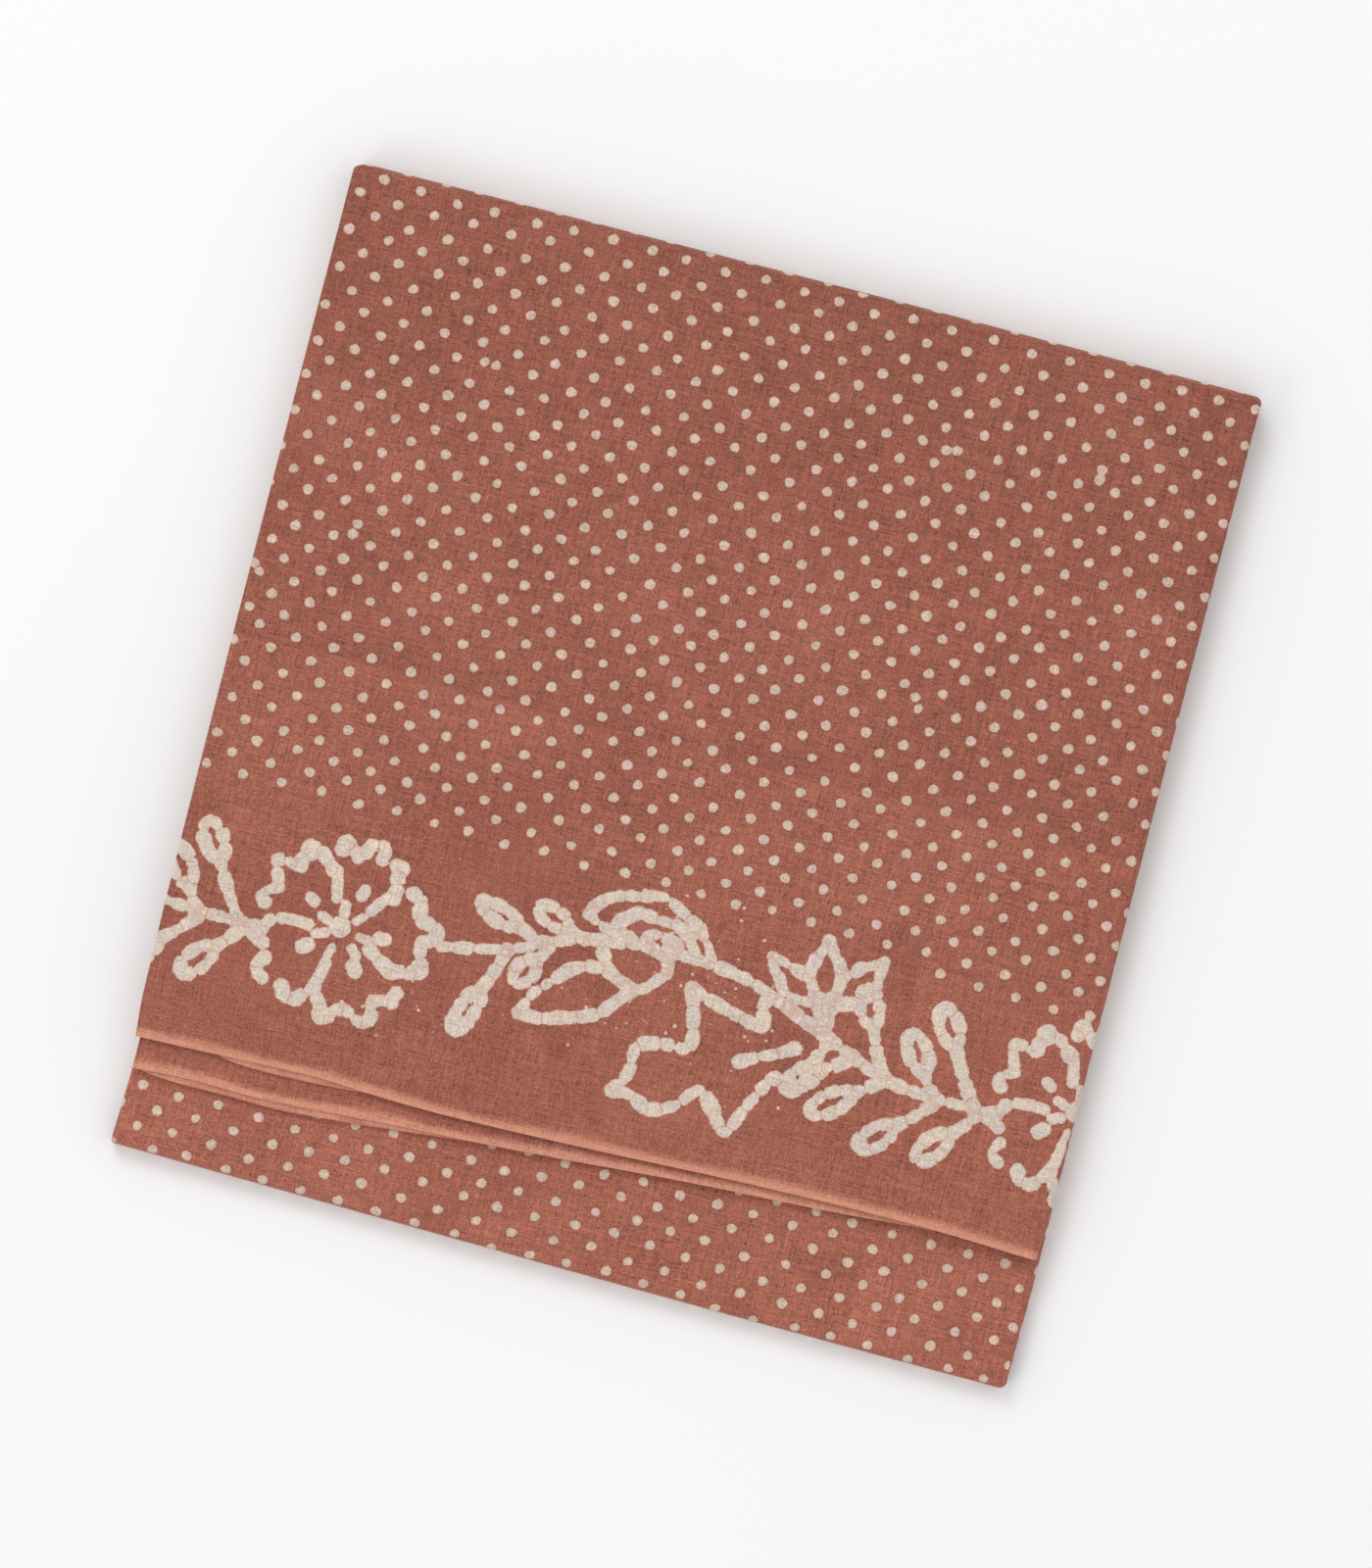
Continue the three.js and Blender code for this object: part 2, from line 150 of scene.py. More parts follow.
@dataclass(frozen=True)
class Crease:
    """An old fold line, a soft trough or ridge from one place to another, with painted light and shade."""

    start: Place
    end: Place
    depth: float  # below zero it is a ridge
    width: float
    painted_light: float  # painted highlight along it, with a painted shadow line on its left; below zero the other way round
    seed: int = 1
    step: float = 0.0  # painted shade: how much lighter the cloth is on its right than on its left
    fade: float = 14.0  # how far from the crease that painted shade lasts

    def ways(self) -> tuple[float, Array, Array]:
        """Works out how the crease runs.

        Returns:
            Its length, its direction, and the direction across it to its left.
        """
        gap = np.array(self.end, float) - self.start
        length = float(np.hypot(*gap))
        way = gap / length
        return length, way, left_of(way)

    def measure(self, x: Array, y: Array) -> tuple[Array, Array]:
        """Measures places against the crease.

        Args:
            x: Places along X.
            y: Places along Y.

        Returns:
            How far each is to its left, and the crease's strength there.
        """
        length, way, left = self.ways()
        dx, dy = x - self.start[0], y - self.start[1]
        run = dx * way[0] + dy * way[1]
        aside = dx * left[0] + dy * left[1] + Swell(0.5, 60, self.seed + 9).along(run)
        ends = smooth(run / 12) * smooth((length - run) / 12)
        return aside, ends * (0.8 + Swell(0.3, 45, self.seed).along(run))

    def sink(self, x: Array, y: Array) -> Array:
        """How far the cloth lies below its level for this crease."""
        aside, strength = self.measure(x, y)
        return self.depth * strength * np.exp(-((aside / self.width) ** 2))

    def tone(self, x: Array, y: Array) -> Array:
        """Painted light near the crease: a highlight on it, a shadow line on its left, and one side shaded.

        Args:
            x: Places along X.
            y: Places along Y.

        Returns:
            Tones, above zero where light is painted and below zero where shade is painted.
        """
        aside, strength = self.measure(x, y)
        # painted highlight on the crease with a painted shadow line on its left, then painted shade to one
        # side
        line = np.exp(-((aside / 1.1) ** 2)) - 0.8 * np.exp(-(((aside - 1.7) / 1.3) ** 2))
        sides = -np.tanh(aside / 0.6) * np.exp(-np.abs(aside) / self.fade)
        return strength * self.painted_light * line + np.clip(1.4 * strength, 0, 1) * self.step * sides

    def beside(self) -> Array:
        """Lays out flat places that the crease's profile needs.

        Returns:
            Rows of X and Y, close together across the crease.
        """
        length, way, left = self.ways()
        runs = np.arange(1, length, 3.0)[:, None, None] * way
        asides = np.array([-4, -2.2, -0.8, 0, 0.8, 2.2, 4])[None, :, None] * left
        return (np.array(self.start) + runs + asides).reshape(-1, 2)


# Each: start, end, depth, width, painted highlight and shadow line, seed, painted side shade, and how far
# that lasts.
CREASES = (
    Crease((-184, 10.6), (188, 10.0), 0.28, 2.4, 0.9, 3, 1.15),
    Crease((108, -146), (108, 12), -0.24, 1.8, 1.2, 5, 1.15),
    Crease((108, 4), (108, 92), -0.2, 2.2, 1.4, 4, 0.5),
    Crease((109, 86), (108.5, 190), -0.16, 2.0, 1.2, 6, 0.7),
    Crease((91, 112), (91, 188), 0.2, 1.9, -1.9, 7),
    Crease((34, 140), (109, 139.4), 0.16, 1.8, 0.5, 8),
    Crease((-176, -26), (-106, -26.6), 0.16, 1.9, 0.5, 9),
    Crease((160, 18), (179, 15.4), 0.45, 1.5, -1.0, 10),
    Crease((-178, -124), (-174.5, -143), -0.25, 1.4, 0.5, 11),
    Crease((114, -196), (114, -143), -0.18, 1.6, 1.3, 12, 1.3),
    Crease((-60, 60), (-20, 196), 0.1, 3.0, 0.15, 13),
    Crease((-150, 120), (-90, 128), 0.12, 2.4, 0.25, 14),
)
SETTLE = Swell(0.11, 95, 41)
RUMPLE = Swell(0.05, 34, 42)
MEAN_SINK = 0.24
DEEPEST_SINK = 0.85


def relief(x: Array, y: Array) -> Array:
    """How far the top cloth lies below its level, from settling and creases."""
    sink = MEAN_SINK + SETTLE.at(x, y) + RUMPLE.at(x, y) + sum(crease.sink(x, y) for crease in CREASES)
    return np.clip(sink, 0.0, DEEPEST_SINK)


# ---- the folded shape, with the same numbers as the part's source ----
CLOTH = 0.45  # the thickness of a sheet
ROLL_DEPTH = 2.4
ROLL_TURN = math.radians(160)
ROLL_FADE = 16.0  # how far from a cross fold the roll is fully open
FULL_HEIGHT = 15.6
FRONT_TOP = 9.6
LOWER_ROLL_HEIGHT = 4.65
SECOND_TOP = 12.6
BULB_DEPTH = 4.0
SEAM = 0.3  # between neighbouring stretches
LIP_REACH = 6.5  # how far behind its lip a drooping cloth starts to sink

FLAP_LEFT = Line(((-148, -177.6), (-130, -178.8), (-60, -179.4), (60, -179.4), (198, -178.8)))
FLAP_RIGHT = Line(((-148, 176.9), (-130, 178.2), (-60, 178.4), (60, 178.6), (198, 179.5)))
STACK_LEFT = Line(((-198, -177.4), (-150, -175.8), (0, -176.8), (198, -177.4)))
STACK_RIGHT = Line(((-198, 177.9), (-150, 178.7), (0, 177.4), (198, 177.6)))
BACK_LINE = Line(((-180, 197.0), (-60, 196.8), (60, 196.3), (180, 195.0)))
FRONT_LINE = Line(((-180, -190.0), (-60, -192.9), (60, -195.4), (180, -197.1)))
TOP_LIP = Line(
    ((-180, -148.0), (-143, -147.0), (-108, -146.1), (-84, -147.3), (-56, -148.0))
    + ((2, -146.8), (60, -144.8), (125, -144.1), (180, -146.1))
)
UPPER_LAYERS_LIP = Line(
    ((-180, -144.0), (-150, -145.6), (-140, -148.3), (-118, -148.8), (-100, -148.1))
    + ((-82, -146.6), (-56, -144.0), (180, -142.0))
)
SECOND_LIP = Line(
    ((-180, -160.4), (-156, -159.0), (-126, -159.4), (-80, -157.0), (-26, -154.4))
    + ((39, -150.1), (98, -147.2), (135, -144.6), (180, -142.0))
)
LOWER_LAYERS_LIP = Line(
    ((-180, -157.0), (-168, -160.8), (-136, -161.5), (-117, -161.8), (-80, -159.0))
    + ((-31, -154.0), (20, -148.2), (180, -141.0))
)
NEAR_LIP = (0.0, 0.5, 1.2, 2.2, 3.4, 5.0, 7.5)  # rows of cloth close behind a lip


@dataclass(frozen=True)
class Corner:
    """How far a corner in plan is cut back along the cross fold, and how far across it."""

    along: float
    across: float

    def inset(self, distance: Array) -> Array:
        """How far a side edge stands back at a distance from the fold line."""
        t = 1 - np.clip(distance / self.across, 0, 1)
        return self.along * (1 - np.sqrt(1 - t * t))


@dataclass(frozen=True)
class CrossFold:
    """A fold across the stack: where its face stands, which way it faces and how high it is."""

    line: Line
    side: int
    depth: float
    height: float
    squareness: float = 0.8
    tail: float = 8.0

    def bend(self, x: Array) -> Array:
        """Where along Y the cloth starts to turn."""
        return self.line.at(x) - self.side * self.depth

    def out(self, turn: Array) -> Array:
        """How far out the cloth lies, as a part of the depth."""
        return np.clip(np.sin(turn), 0, 1) ** self.squareness

    def rise(self, turn: Array) -> Array:
        """How high above its middle the cloth lies, as a part of half the height."""
        level = np.cos(turn)
        return np.sign(level) * np.abs(level) ** self.squareness

    def arc(self) -> tuple[Array, Array]:
        """Works out how the turn grows along the cloth.

        Returns:
            Turns from 0 to half a circle, and the length of cloth up to each.
        """
        turns = np.linspace(0, math.pi, 241)
        out, rise = np.diff(self.out(turns)) * self.depth, np.diff(self.rise(turns)) * self.height / 2
        return turns, np.concatenate([[0.0], np.cumsum(np.hypot(out, rise))])

    @property
    def length(self) -> float:
        """The length of cloth round the fold."""
        return float(self.arc()[1][-1])

    def follow(self, t: Array, x: Array) -> tuple[Array, Array, Array]:
        """Follows the cloth over and round the fold.

        Args:
            t: Flat places along the cloth.
            x: Places across it.

        Returns:
            The run past the bend, the turn, and the place along Y apart from the fold's bulge.
        """
        turns, lengths = self.arc()
        bend = self.bend(x)
        run = self.side * (t - bend)
        tail = np.maximum(run - lengths[-1], 0)
        return run, np.interp(run, lengths, turns), np.where(run < 0, t, bend) - self.side * tail


BACK_FOLD = CrossFold(BACK_LINE, 1, 3.8, FULL_HEIGHT)
FRONT_FOLD = CrossFold(FRONT_LINE, -1, 3.0, FRONT_TOP)
FLAP_CORNERS = (Corner(8, 3.5), Corner(3, 3))  # left, then right
FRONT_CORNERS = (Corner(1.5, 1.5), Corner(3.2, 3.2))


def hidden_end(x: Array) -> Array:
    """Where the stretches hidden in the stack end, in front of the back fold."""
    return BACK_FOLD.bend(x) - BULB_DEPTH - SEAM


@dataclass(frozen=True)
class RolledEdge:
    """The halving fold at a stretch's right edge, a roll of cloth that fades before a cross fold."""

    height: float

    def length(self, opened: Array) -> Array:
        """Works out the length of cloth past the roll's start.

        Args:
            opened: 1 where the roll is open, and 0 where it is pressed flat.

        Returns:
            Lengths.
        """
        turn = np.linspace(0, ROLL_TURN, 90)
        steps = np.hypot(np.diff(ROLL_DEPTH * np.sin(turn)), np.diff(self.height / 2 * np.cos(turn)))
        return mix(ROLL_DEPTH, float(steps.sum()), opened)

    def place(self, run: Array, opened: Array, inset: float) -> tuple[Array, Array]:
        """Places the cloth past the roll's start.

        Args:
            run: Length of cloth past the start, below zero before it.
            opened: 1 where the roll is open, and 0 where it is pressed flat.
            inset: Depth below the outer face.

        Returns:
            How far out it lies, and how far it has turned away from the face it leaves.
        """
        share = np.clip(run / self.length(opened), 0, 1)
        turn = share * ROLL_TURN * opened
        bulge = mix(ROLL_DEPTH * share, (ROLL_DEPTH - inset) * np.sin(turn), opened)
        turned = opened * (self.height / 2 - inset) * (1 - np.cos(turn))
        return bulge, np.where(run > 0, turned, 0.0)


class Stretch:
    """Cloth laid out flat in rows from its lip to its end, with side edges and a mapping to its place."""

    lip: PlanLine
    droop: float  # how far it sinks at its lip
    pitch: float  # between the places of its plain net
    side = 1  # below zero where its rows run towards -Y
    probes = (-178.0, 178.0)  # where across it the left and the right edge are worked out
    steps = (1.5, 4.0)  # between places along the lip and along the end, 0 for the lip's own places
    faces_down = False

    def rows(self) -> Array:
        """What each row is worked out from, lip first."""
        raise NotImplementedError

    def rim_rows(self) -> Array:
        """The rows at which the outline's sides have places."""
        return self.rows()

    def along(self, row: Array, s: Array) -> Array:
        """Flat places along the cloth of one row, at places across it."""
        raise NotImplementedError

    def edges(self, t: Array) -> tuple[Array, Array]:
        """The left and right edges at flat places along the cloth."""
        raise NotImplementedError

    def across(self, t: Array) -> Array:
        """Places across one row, for where its right edge lies."""
        raise NotImplementedError

    def place(self, places: Array, inset: float) -> Array:
        """Where flat places lie on the folded cloth, a depth below its outer face."""
        raise NotImplementedError

    def sag(self, s: Array, t: Array) -> Array:
        """How far the cloth droops near its lip."""
        return self.droop * (1 - smooth(self.side * (t - self.lip(s)) / LIP_REACH)) ** 1.5

    def outline(self) -> Array:
        """Draws the stretch's flat outline.

        Returns:
            Rows of s and t, anticlockwise as seen from outside.
        """
        rows = self.rim_rows()
        left_t, right_t = (np.array([self.along(row, np.array(s)) for row in rows]) for s in self.probes)
        left, right = self.edges(left_t)[0], self.edges(right_t)[1]
        lip = np.arange(left[0], right[0], self.steps[0])[1:]
        end = (np.arange(left[-1], right[-1], self.steps[1])[1:] if self.steps[1] else lip)[::-1]
        ends = pairs(lip, self.along(rows[0], lip)), pairs(end, self.along(rows[-1], end))
        loop = np.concatenate([ends[0], pairs(right, right_t), ends[1], pairs(left, left_t)[::-1]])
        return loop[::-1] if self.faces_down or self.side < 0 else loop

    def grid(self) -> Array:
        """Lays out a plain net.

        Returns:
            Rows of s and t.
        """
        right = np.array(self.probes[1])
        nets = [(self.across(self.along(row, right)), row) for row in self.rows()[1:-1]]
        return np.concatenate([pairs(s, self.along(row, s)) for s, row in nets])

    def inside(self, places: Array, margin: float) -> Array:
        """Finds the flat places that lie within the stretch.

        Args:
            places: Rows of s and t.
            margin: How far inside they have to be.

        Returns:
            True for those that do.
        """
        s, t = places.T
        rows = self.rows()
        left, right = self.edges(t)
        past_lip = self.side * (t - self.along(rows[0], s))
        to_end = self.side * (self.along(rows[-1], s) - t)
        return (np.minimum(past_lip, to_end) > margin) & (np.minimum(s - left, right - s) > margin)


class RolledStretch(Stretch):
    """A stretch whose right edge ends in a roll."""

    roll: RolledEdge
    plain = (-176, 172)  # from where to where its net is plain
    roll_steps = 12  # across the roll

    def rolled(self, t: Array) -> tuple[Array, Array]:
        """Where the roll at the right edge starts, and how far it is open."""
        raise NotImplementedError

    def right_edge(self, t: Array) -> Array:
        """The right edge, at the end of the roll."""
        start, opened = self.rolled(t)
        return start + self.roll.length(opened)

    def across(self, t: Array) -> Array:
        """Lays out places across one row, close together round the roll.

        Args:
            t: Where along the cloth its right edge lies.

        Returns:
            Flat places across the cloth.
        """
        start, opened = self.rolled(t)
        plain = np.arange(*self.plain, self.pitch)
        rolled = start + self.roll.length(opened) * np.arange(self.roll_steps) / self.roll_steps
        return np.concatenate([plain[plain < start - 2], rolled])

    def roll_up(self, s: Array, t: Array, inset: float) -> tuple[Array, Array]:
        """Rolls the cloth up past the roll's start.

        Args:
            s: Flat places across the cloth.
            t: Flat places along it.
            inset: Depth below the outer face.

        Returns:
            X, and how far the cloth has turned away from the face it leaves.
        """
        start, opened = self.rolled(t)
        bulge, turned = self.roll.place(s - start, opened, inset)
        return np.where(s > start, start + bulge, s), turned


@dataclass(frozen=True)
class FoldedStretch(RolledStretch):
    """Cloth that runs from a free edge to a cross fold, round it and on under the stack."""

    lip: PlanLine
    fold: CrossFold
    sides: tuple[Line, Line]
    corners: tuple[Corner, Corner]
    roll: RolledEdge
    droop: float = 0.0
    pitch: float = 5.0

    @property
    def side(self) -> int:
        """Which way its rows run."""
        return self.fold.side

    def rolled(self, t: Array) -> tuple[Array, Array]:
        """Works out the roll at the right edge.

        Args:
            t: Flat places along the cloth.

        Returns:
            Where it starts, and how far it is open.
        """
        run, reach, distance = self.reach(t, self.probes[1])
        opened = np.where(run <= 0, smooth((distance - self.fold.depth) / ROLL_FADE), 0.0)
        return self.sides[1].at(reach) - self.corners[1].inset(distance) - ROLL_DEPTH, opened

    def reach(self, t: Array, x: float) -> tuple[Array, Array, Array]:
        """Finds how far the cloth reaches along Y.

        Args:
            t: Flat places along the cloth.
            x: Where across the cloth the fold is read.

        Returns:
            The run past the bend, the place along Y, and the distance to the fold line.
        """
        run, turn, base = self.fold.follow(t, x)
        reach = base + self.side * self.fold.depth * self.fold.out(turn)
        return run, reach, self.side * (self.fold.line.at(x) - reach)

    def edges(self, t: Array) -> tuple[Array, Array]:
        """The left edge, and the right edge at the end of the roll."""
        _, reach, distance = self.reach(t, self.probes[0])
        return self.sides[0].at(reach) + self.corners[0].inset(distance), self.right_edge(t)

    def rows(self) -> Array:
        """Lists the rows of cloth.

        Returns:
            Pairs of share of the flat part and run past the bend, one for each row.
        """
        length = float(np.abs(self.fold.bend(0.0) - self.lip(np.array(0.0))))
        flat = np.linspace(10 / length, 1, max(int(length / self.pitch), 3))
        shares = np.concatenate([np.array(NEAR_LIP) / length, flat])
        turning = np.linspace(0, self.fold.length, 25)[1:]
        tail = self.fold.length + np.linspace(0, self.fold.tail, 4)[1:]
        runs = np.concatenate([0 * shares, turning, tail])
        return pairs(np.concatenate([shares, np.ones(len(turning) + len(tail))]), runs)

    def rim_rows(self) -> Array:
        """Sets one more row between each two.

        Returns:
            Pairs of share and run, as for the rows.
        """
        rows = self.rows()
        fine = np.stack([rows[:-1], mix(rows[:-1], rows[1:], 0.5)], axis=1)
        return np.concatenate([fine.reshape(-1, 2), rows[-1:]])

    def along(self, row: Array, s: Array) -> Array:
        """Flat places along the cloth of one row, at places across it."""
        return mix(self.lip(s), self.fold.bend(s), row[0]) + self.side * row[1]

    def place(self, places: Array, inset: float) -> Array:
        """Finds where flat places lie on the folded cloth.

        Args:
            places: Rows of s and t.
            inset: Depth below the outer face.

        Returns:
            Rows of X, Y and Z.
        """
        s, t = places.T
        fold = self.fold
        _, turn, base = fold.follow(t, s)
        y = base + fold.side * (fold.depth - inset) * fold.out(turn)
        x, turned = self.roll_up(s, t, inset)
        half = fold.height / 2
        z = half + (half - inset) * fold.rise(turn) - turned
        flat = np.clip(fold.rise(turn), 0, 1) * (1 - turned / (self.roll.height + 1))
        return np.column_stack([x, y, z - (relief(x, y) + self.sag(s, t)) * flat])


@dataclass(frozen=True)
class FlatStretch(Stretch):
    """Cloth inside the stack that lies flat, with one lip that shows."""

    lip: PlanLine
    end: PlanLine
    sides: tuple[Line, Line]
    top: float
    droop: float = 0.0
    pitch: float = 4.0
    probes = (-177.0, 176.0)
    plain = (-174, 174)
    steps = (1.5, 6.0)

    def rows(self) -> Array:
        """Lists the rows of cloth.

        Returns:
            Shares of the way from the lip to the hidden end.
        """
        length = float(np.abs(self.end(np.array(0.0)) - self.lip(np.array(0.0))))
        near = np.array([*NEAR_LIP, 11, 16, 22]) / length
        return np.concatenate([near, np.linspace(30 / length, 1, int(length / self.pitch / 4))])

    def along(self, row: Array, s: Array) -> Array:
        """Flat places along the cloth of one row, at places across it."""
        return mix(self.lip(s), self.end(s), row)

    def edges(self, t: Array) -> tuple[Array, Array]:
        """The left and right edges at places along Y."""
        return self.sides[0].at(t), self.sides[1].at(t) - ROLL_DEPTH - SEAM

    def across(self, t: Array) -> Array:
        """Places across every row."""
        return np.arange(*self.plain, self.pitch)

    def place(self, places: Array, inset: float) -> Array:
        """Where flat places lie, a depth below the upper face."""
        s, t = places.T
        return np.column_stack([s, t, self.top - inset - 0.6 * relief(s, t) - self.sag(s, t)])


@dataclass(frozen=True)
class TableStretch(RolledStretch):
    """The cloth against the table, whose right edge rolls up. Its outer face looks down."""

    roll: RolledEdge
    pitch: float = 8.0
    overlap: float = 1.2  # how far its ends lie on the tails of the cross folds
    lift: float = 0.5  # how high they lie there
    lifted: float = 5.6  # how far from its ends it is lifted in full
    lift_fade: float = 5.0  # over how far it comes down to the table
    right: float = 178.0  # where across it the roll's ends are worked out
    probes = (-177.0, 177.0)
    plain = (-174, 170)
    roll_steps = 10
    steps = (5.0, 0.0)
    faces_down = True

    def end(self, fold: CrossFold, x: Array) -> Array:
        """Where the stretch ends, on the tail of a cross fold."""
        return fold.bend(x) - fold.side * (fold.tail - self.overlap)

    def rolled(self, t: Array) -> tuple[Array, Array]:
        """Where the roll at the right edge starts, and how far it is open."""
        front, back = (self.end(fold, self.right) for fold in (FRONT_FOLD, BACK_FOLD))
        return STACK_RIGHT.at(t) - ROLL_DEPTH, smooth(np.minimum(t - front, back - t) / ROLL_FADE)

    def rows(self) -> Array:
        """The rows of cloth, as shares of the way from the front to the back."""
        ends = np.array([0.0, 0.004, 0.01, 0.02, 0.035, 0.05])
        return np.concatenate([ends, np.linspace(0.08, 0.92, 40), 1 - ends[::-1]])

    def along(self, row: Array, s: Array) -> Array:
        """Flat places along the cloth of one row, at places across it."""
        return mix(self.end(FRONT_FOLD, s), self.end(BACK_FOLD, s), row)

    def edges(self, t: Array) -> tuple[Array, Array]:
        """The left edge, and the right edge at the end of the roll."""
        return STACK_LEFT.at(t) + SEAM, self.right_edge(t)

    def place(self, places: Array, inset: float) -> Array:
        """Finds where flat places lie.

        Args:
            places: Rows of s and t.
            inset: Depth inside the outer face.

        Returns:
            Rows of X, Y and Z.
        """
        s, t = places.T
        x, turned = self.roll_up(s, t, inset)
        near = np.minimum(t - self.end(FRONT_FOLD, s), self.end(BACK_FOLD, s) - t)
        lift = self.lift * (1 - smooth((near - self.lifted) / self.lift_fade))
        return np.column_stack([x, t, inset + turned + lift])


# ---- the waxed pattern, in flat places ----
OUTSIDE = -3.0  # deep outside any wax
FAR = 9.0  # far from any seam
LEFT_END = -184.0  # strokes wholly beyond this don't show
DAB_SEEDS = 900  # added to a stroke's number
LOBE_STEPS = 6  # places along one lobe of a petal
STROKE_REACH = 5.0  # how far from its middle a stroke is measured
MEET_MARK = 0.45  # how strongly a seam is marked where two strokes meet
SEAM_REACH = 1.3  # how far from a seam its mark counts


def oval(centre: Place, half: Place, tilt: float, span: Place, count: int) -> Array:
    """Lays out places along a part of an oval.

    Args:
        centre: Its middle.
        half: Half its length along its tilt, and half its width.
        tilt: The way its length points, in degrees.
        span: Where on it the part starts and ends, in degrees.
        count: How many places.

    Returns:
        Rows of X and Y.
    """
    around = np.radians(np.linspace(*span, count))
    way = heading(tilt)
    run = np.outer(half[0] * np.cos(around), way)
    return np.array(centre) + run + np.outer(half[1] * np.sin(around), left_of(way))


@dataclass(frozen=True)
class Stroke:
    """A line of wax laid down with a brush, dab by dab."""

    points: Array
    half: float  # half its width
    closed: bool = False
    ends: float = 0.5  # how much fuller its ends are
    dab: float = 7.2
    step: float = 0.5

    def trail(self) -> tuple[Array, Array]:
        """Draws the stroke's middle as closely spaced places.

        Returns:
            Rows of X and Y, and the length along the stroke at each.
        """
        p = np.asarray(self.points, float)
        if len(p) == 1:
            return p, np.zeros(1)
        if self.closed:
            p = np.concatenate([p[-1:], p, p[:2]])
        else:
            p = np.concatenate([[2 * p[0] - p[1]], p, [2 * p[-1] - p[-2]]])
        pieces = []
        for a, b, c, d in zip(p[:-3], p[1:-2], p[2:-1], p[3:]):
            count = max(int(np.hypot(*(c - b)) / self.step), 2)
            t = (np.arange(count) / count)[:, None]
            pull = (c - a) * t + (2 * a - 5 * b + 4 * c - d) * t**2 + (3 * (b - c) + d - a) * t**3
            pieces.append(b + 0.5 * pull)
        path = np.concatenate(pieces + [p[-2:-1]])
        return path, np.concatenate([[0.0], np.cumsum(np.hypot(*np.diff(path, axis=0).T))])

    def nearest(self, places: Array) -> tuple[Array, Array, float]:
        """Finds the nearest place of the stroke's middle.

        Args:
            places: Rows of X and Y.

        Returns:
            The distance to it, how far along the stroke it is, and the whole length.
        """
        path, length = self.trail()
        distance = np.full(len(places), np.inf)
        along = np.zeros(len(places))
        for k in range(0, len(path), 64):
            gaps = np.linalg.norm(places[:, None] - path[None, k : k + 64], axis=2)
            index = gaps.argmin(1)
            gap = gaps[np.arange(len(places)), index]
            along = np.where(gap < distance, length[k + index], along)
            distance = np.minimum(gap, distance)
        return distance, along, float(length[-1])

    def measure(self, places: Array, seed: int) -> tuple[Array, Array, Array]:
        """Measures places against the stroke.

        Args:
            places: Rows of X and Y.
            seed: Which stroke of the border this is.

        Returns:
            How deep inside the wax each lies, below zero outside, how far along it lies past the nearest
            seam between dabs, and how strongly that seam is marked.
        """
        distance, along, total = self.nearest(places)
        rng = np.random.default_rng(DAB_SEEDS + seed)
        knobs = Swell(0.15, 3.4, seed, 5).at(*places.T) + Swell(0.07, 1.6, seed + 60, 5).at(*places.T)
        if total < 1.5 * self.dab:
            return self.half + knobs - distance, np.full(len(places), FAR), np.zeros(len(places))
        count = max(round(total / self.dab), 2)
        numbers = np.arange(0 if self.closed else 1, count)
        seams = (numbers + rng.uniform(-0.3, 0.3, len(numbers))) * total / count
        slant = rng.uniform(-0.35, 0.35, len(seams))
        offset = along[:, None] - seams[None] + slant * distance[:, None]
        index = np.abs(offset).argmin(1)
        seam = offset[np.arange(len(places)), index]
        notch = np.clip(rng.uniform(-0.2, 1.5, len(seams)), 0, 1.25)[index]
        mark = rng.uniform(0.2, 1.0, len(seams))[index]
        fullness = rng.uniform(-0.3, 0.5, count + 1)[np.searchsorted(seams, along)]
        barrel = 0.3 * np.clip(np.abs(seam) / 2.6, 0, 1) - 0.15
        half = self.half + fullness + knobs + barrel - notch * np.exp(-np.abs(seam) / 0.6)
        if not self.closed:
            half = half + self.ends * np.exp(-((np.minimum(along, total - along) / 2.8) ** 2))
        return half - distance, seam, mark


class Motif(Protocol):
    """A part of the border that is drawn in strokes."""

    def strokes(self) -> list[Stroke]:
        """The strokes that draw it."""


class Side(Enum):
    """Which side of the vine a leaf grows on, as the heading of its tip in degrees."""

    UP = 118.0
    DOWN = 222.0


@dataclass(frozen=True)
class LeafLoop:
    """A small leaf drawn as a closed loop with an open eye, on a thick stalk from the vine."""

    foot: Place
    side: Side
    reach: float  # from its foot to its middle
    lean: float = 0.0  # how far it is turned from its side's heading
    length: float = 10.0
    width: float = 6.2
    half: float = 2.5
    stalk: float = 2.35
    joint: float = 2.9  # half the width of the blot where it leaves the vine
    dab: float = 6.0

    def strokes(self) -> list[Stroke]:
        """Draws the leaf.

        Returns:
            The loop, its stalk and the blot at its foot.
        """
        angle = self.side.value + self.lean
        way, foot = heading(angle), np.array(self.foot)
        centre = foot + self.reach * way
        reach, rise = self.length - self.half, self.width - self.half
        near = centre - (reach + 0.4) * way
        bend = (near + foot) / 2 + 0.5 * left_of(way)
        return [
            Stroke(oval(centre, (reach, rise), angle, (0, 324), 10), self.half, closed=True, dab=self.dab),
            Stroke(np.array([near, bend, foot]), self.stalk, ends=0.3, dab=self.dab),
            Stroke(foot[None], self.joint),
        ]


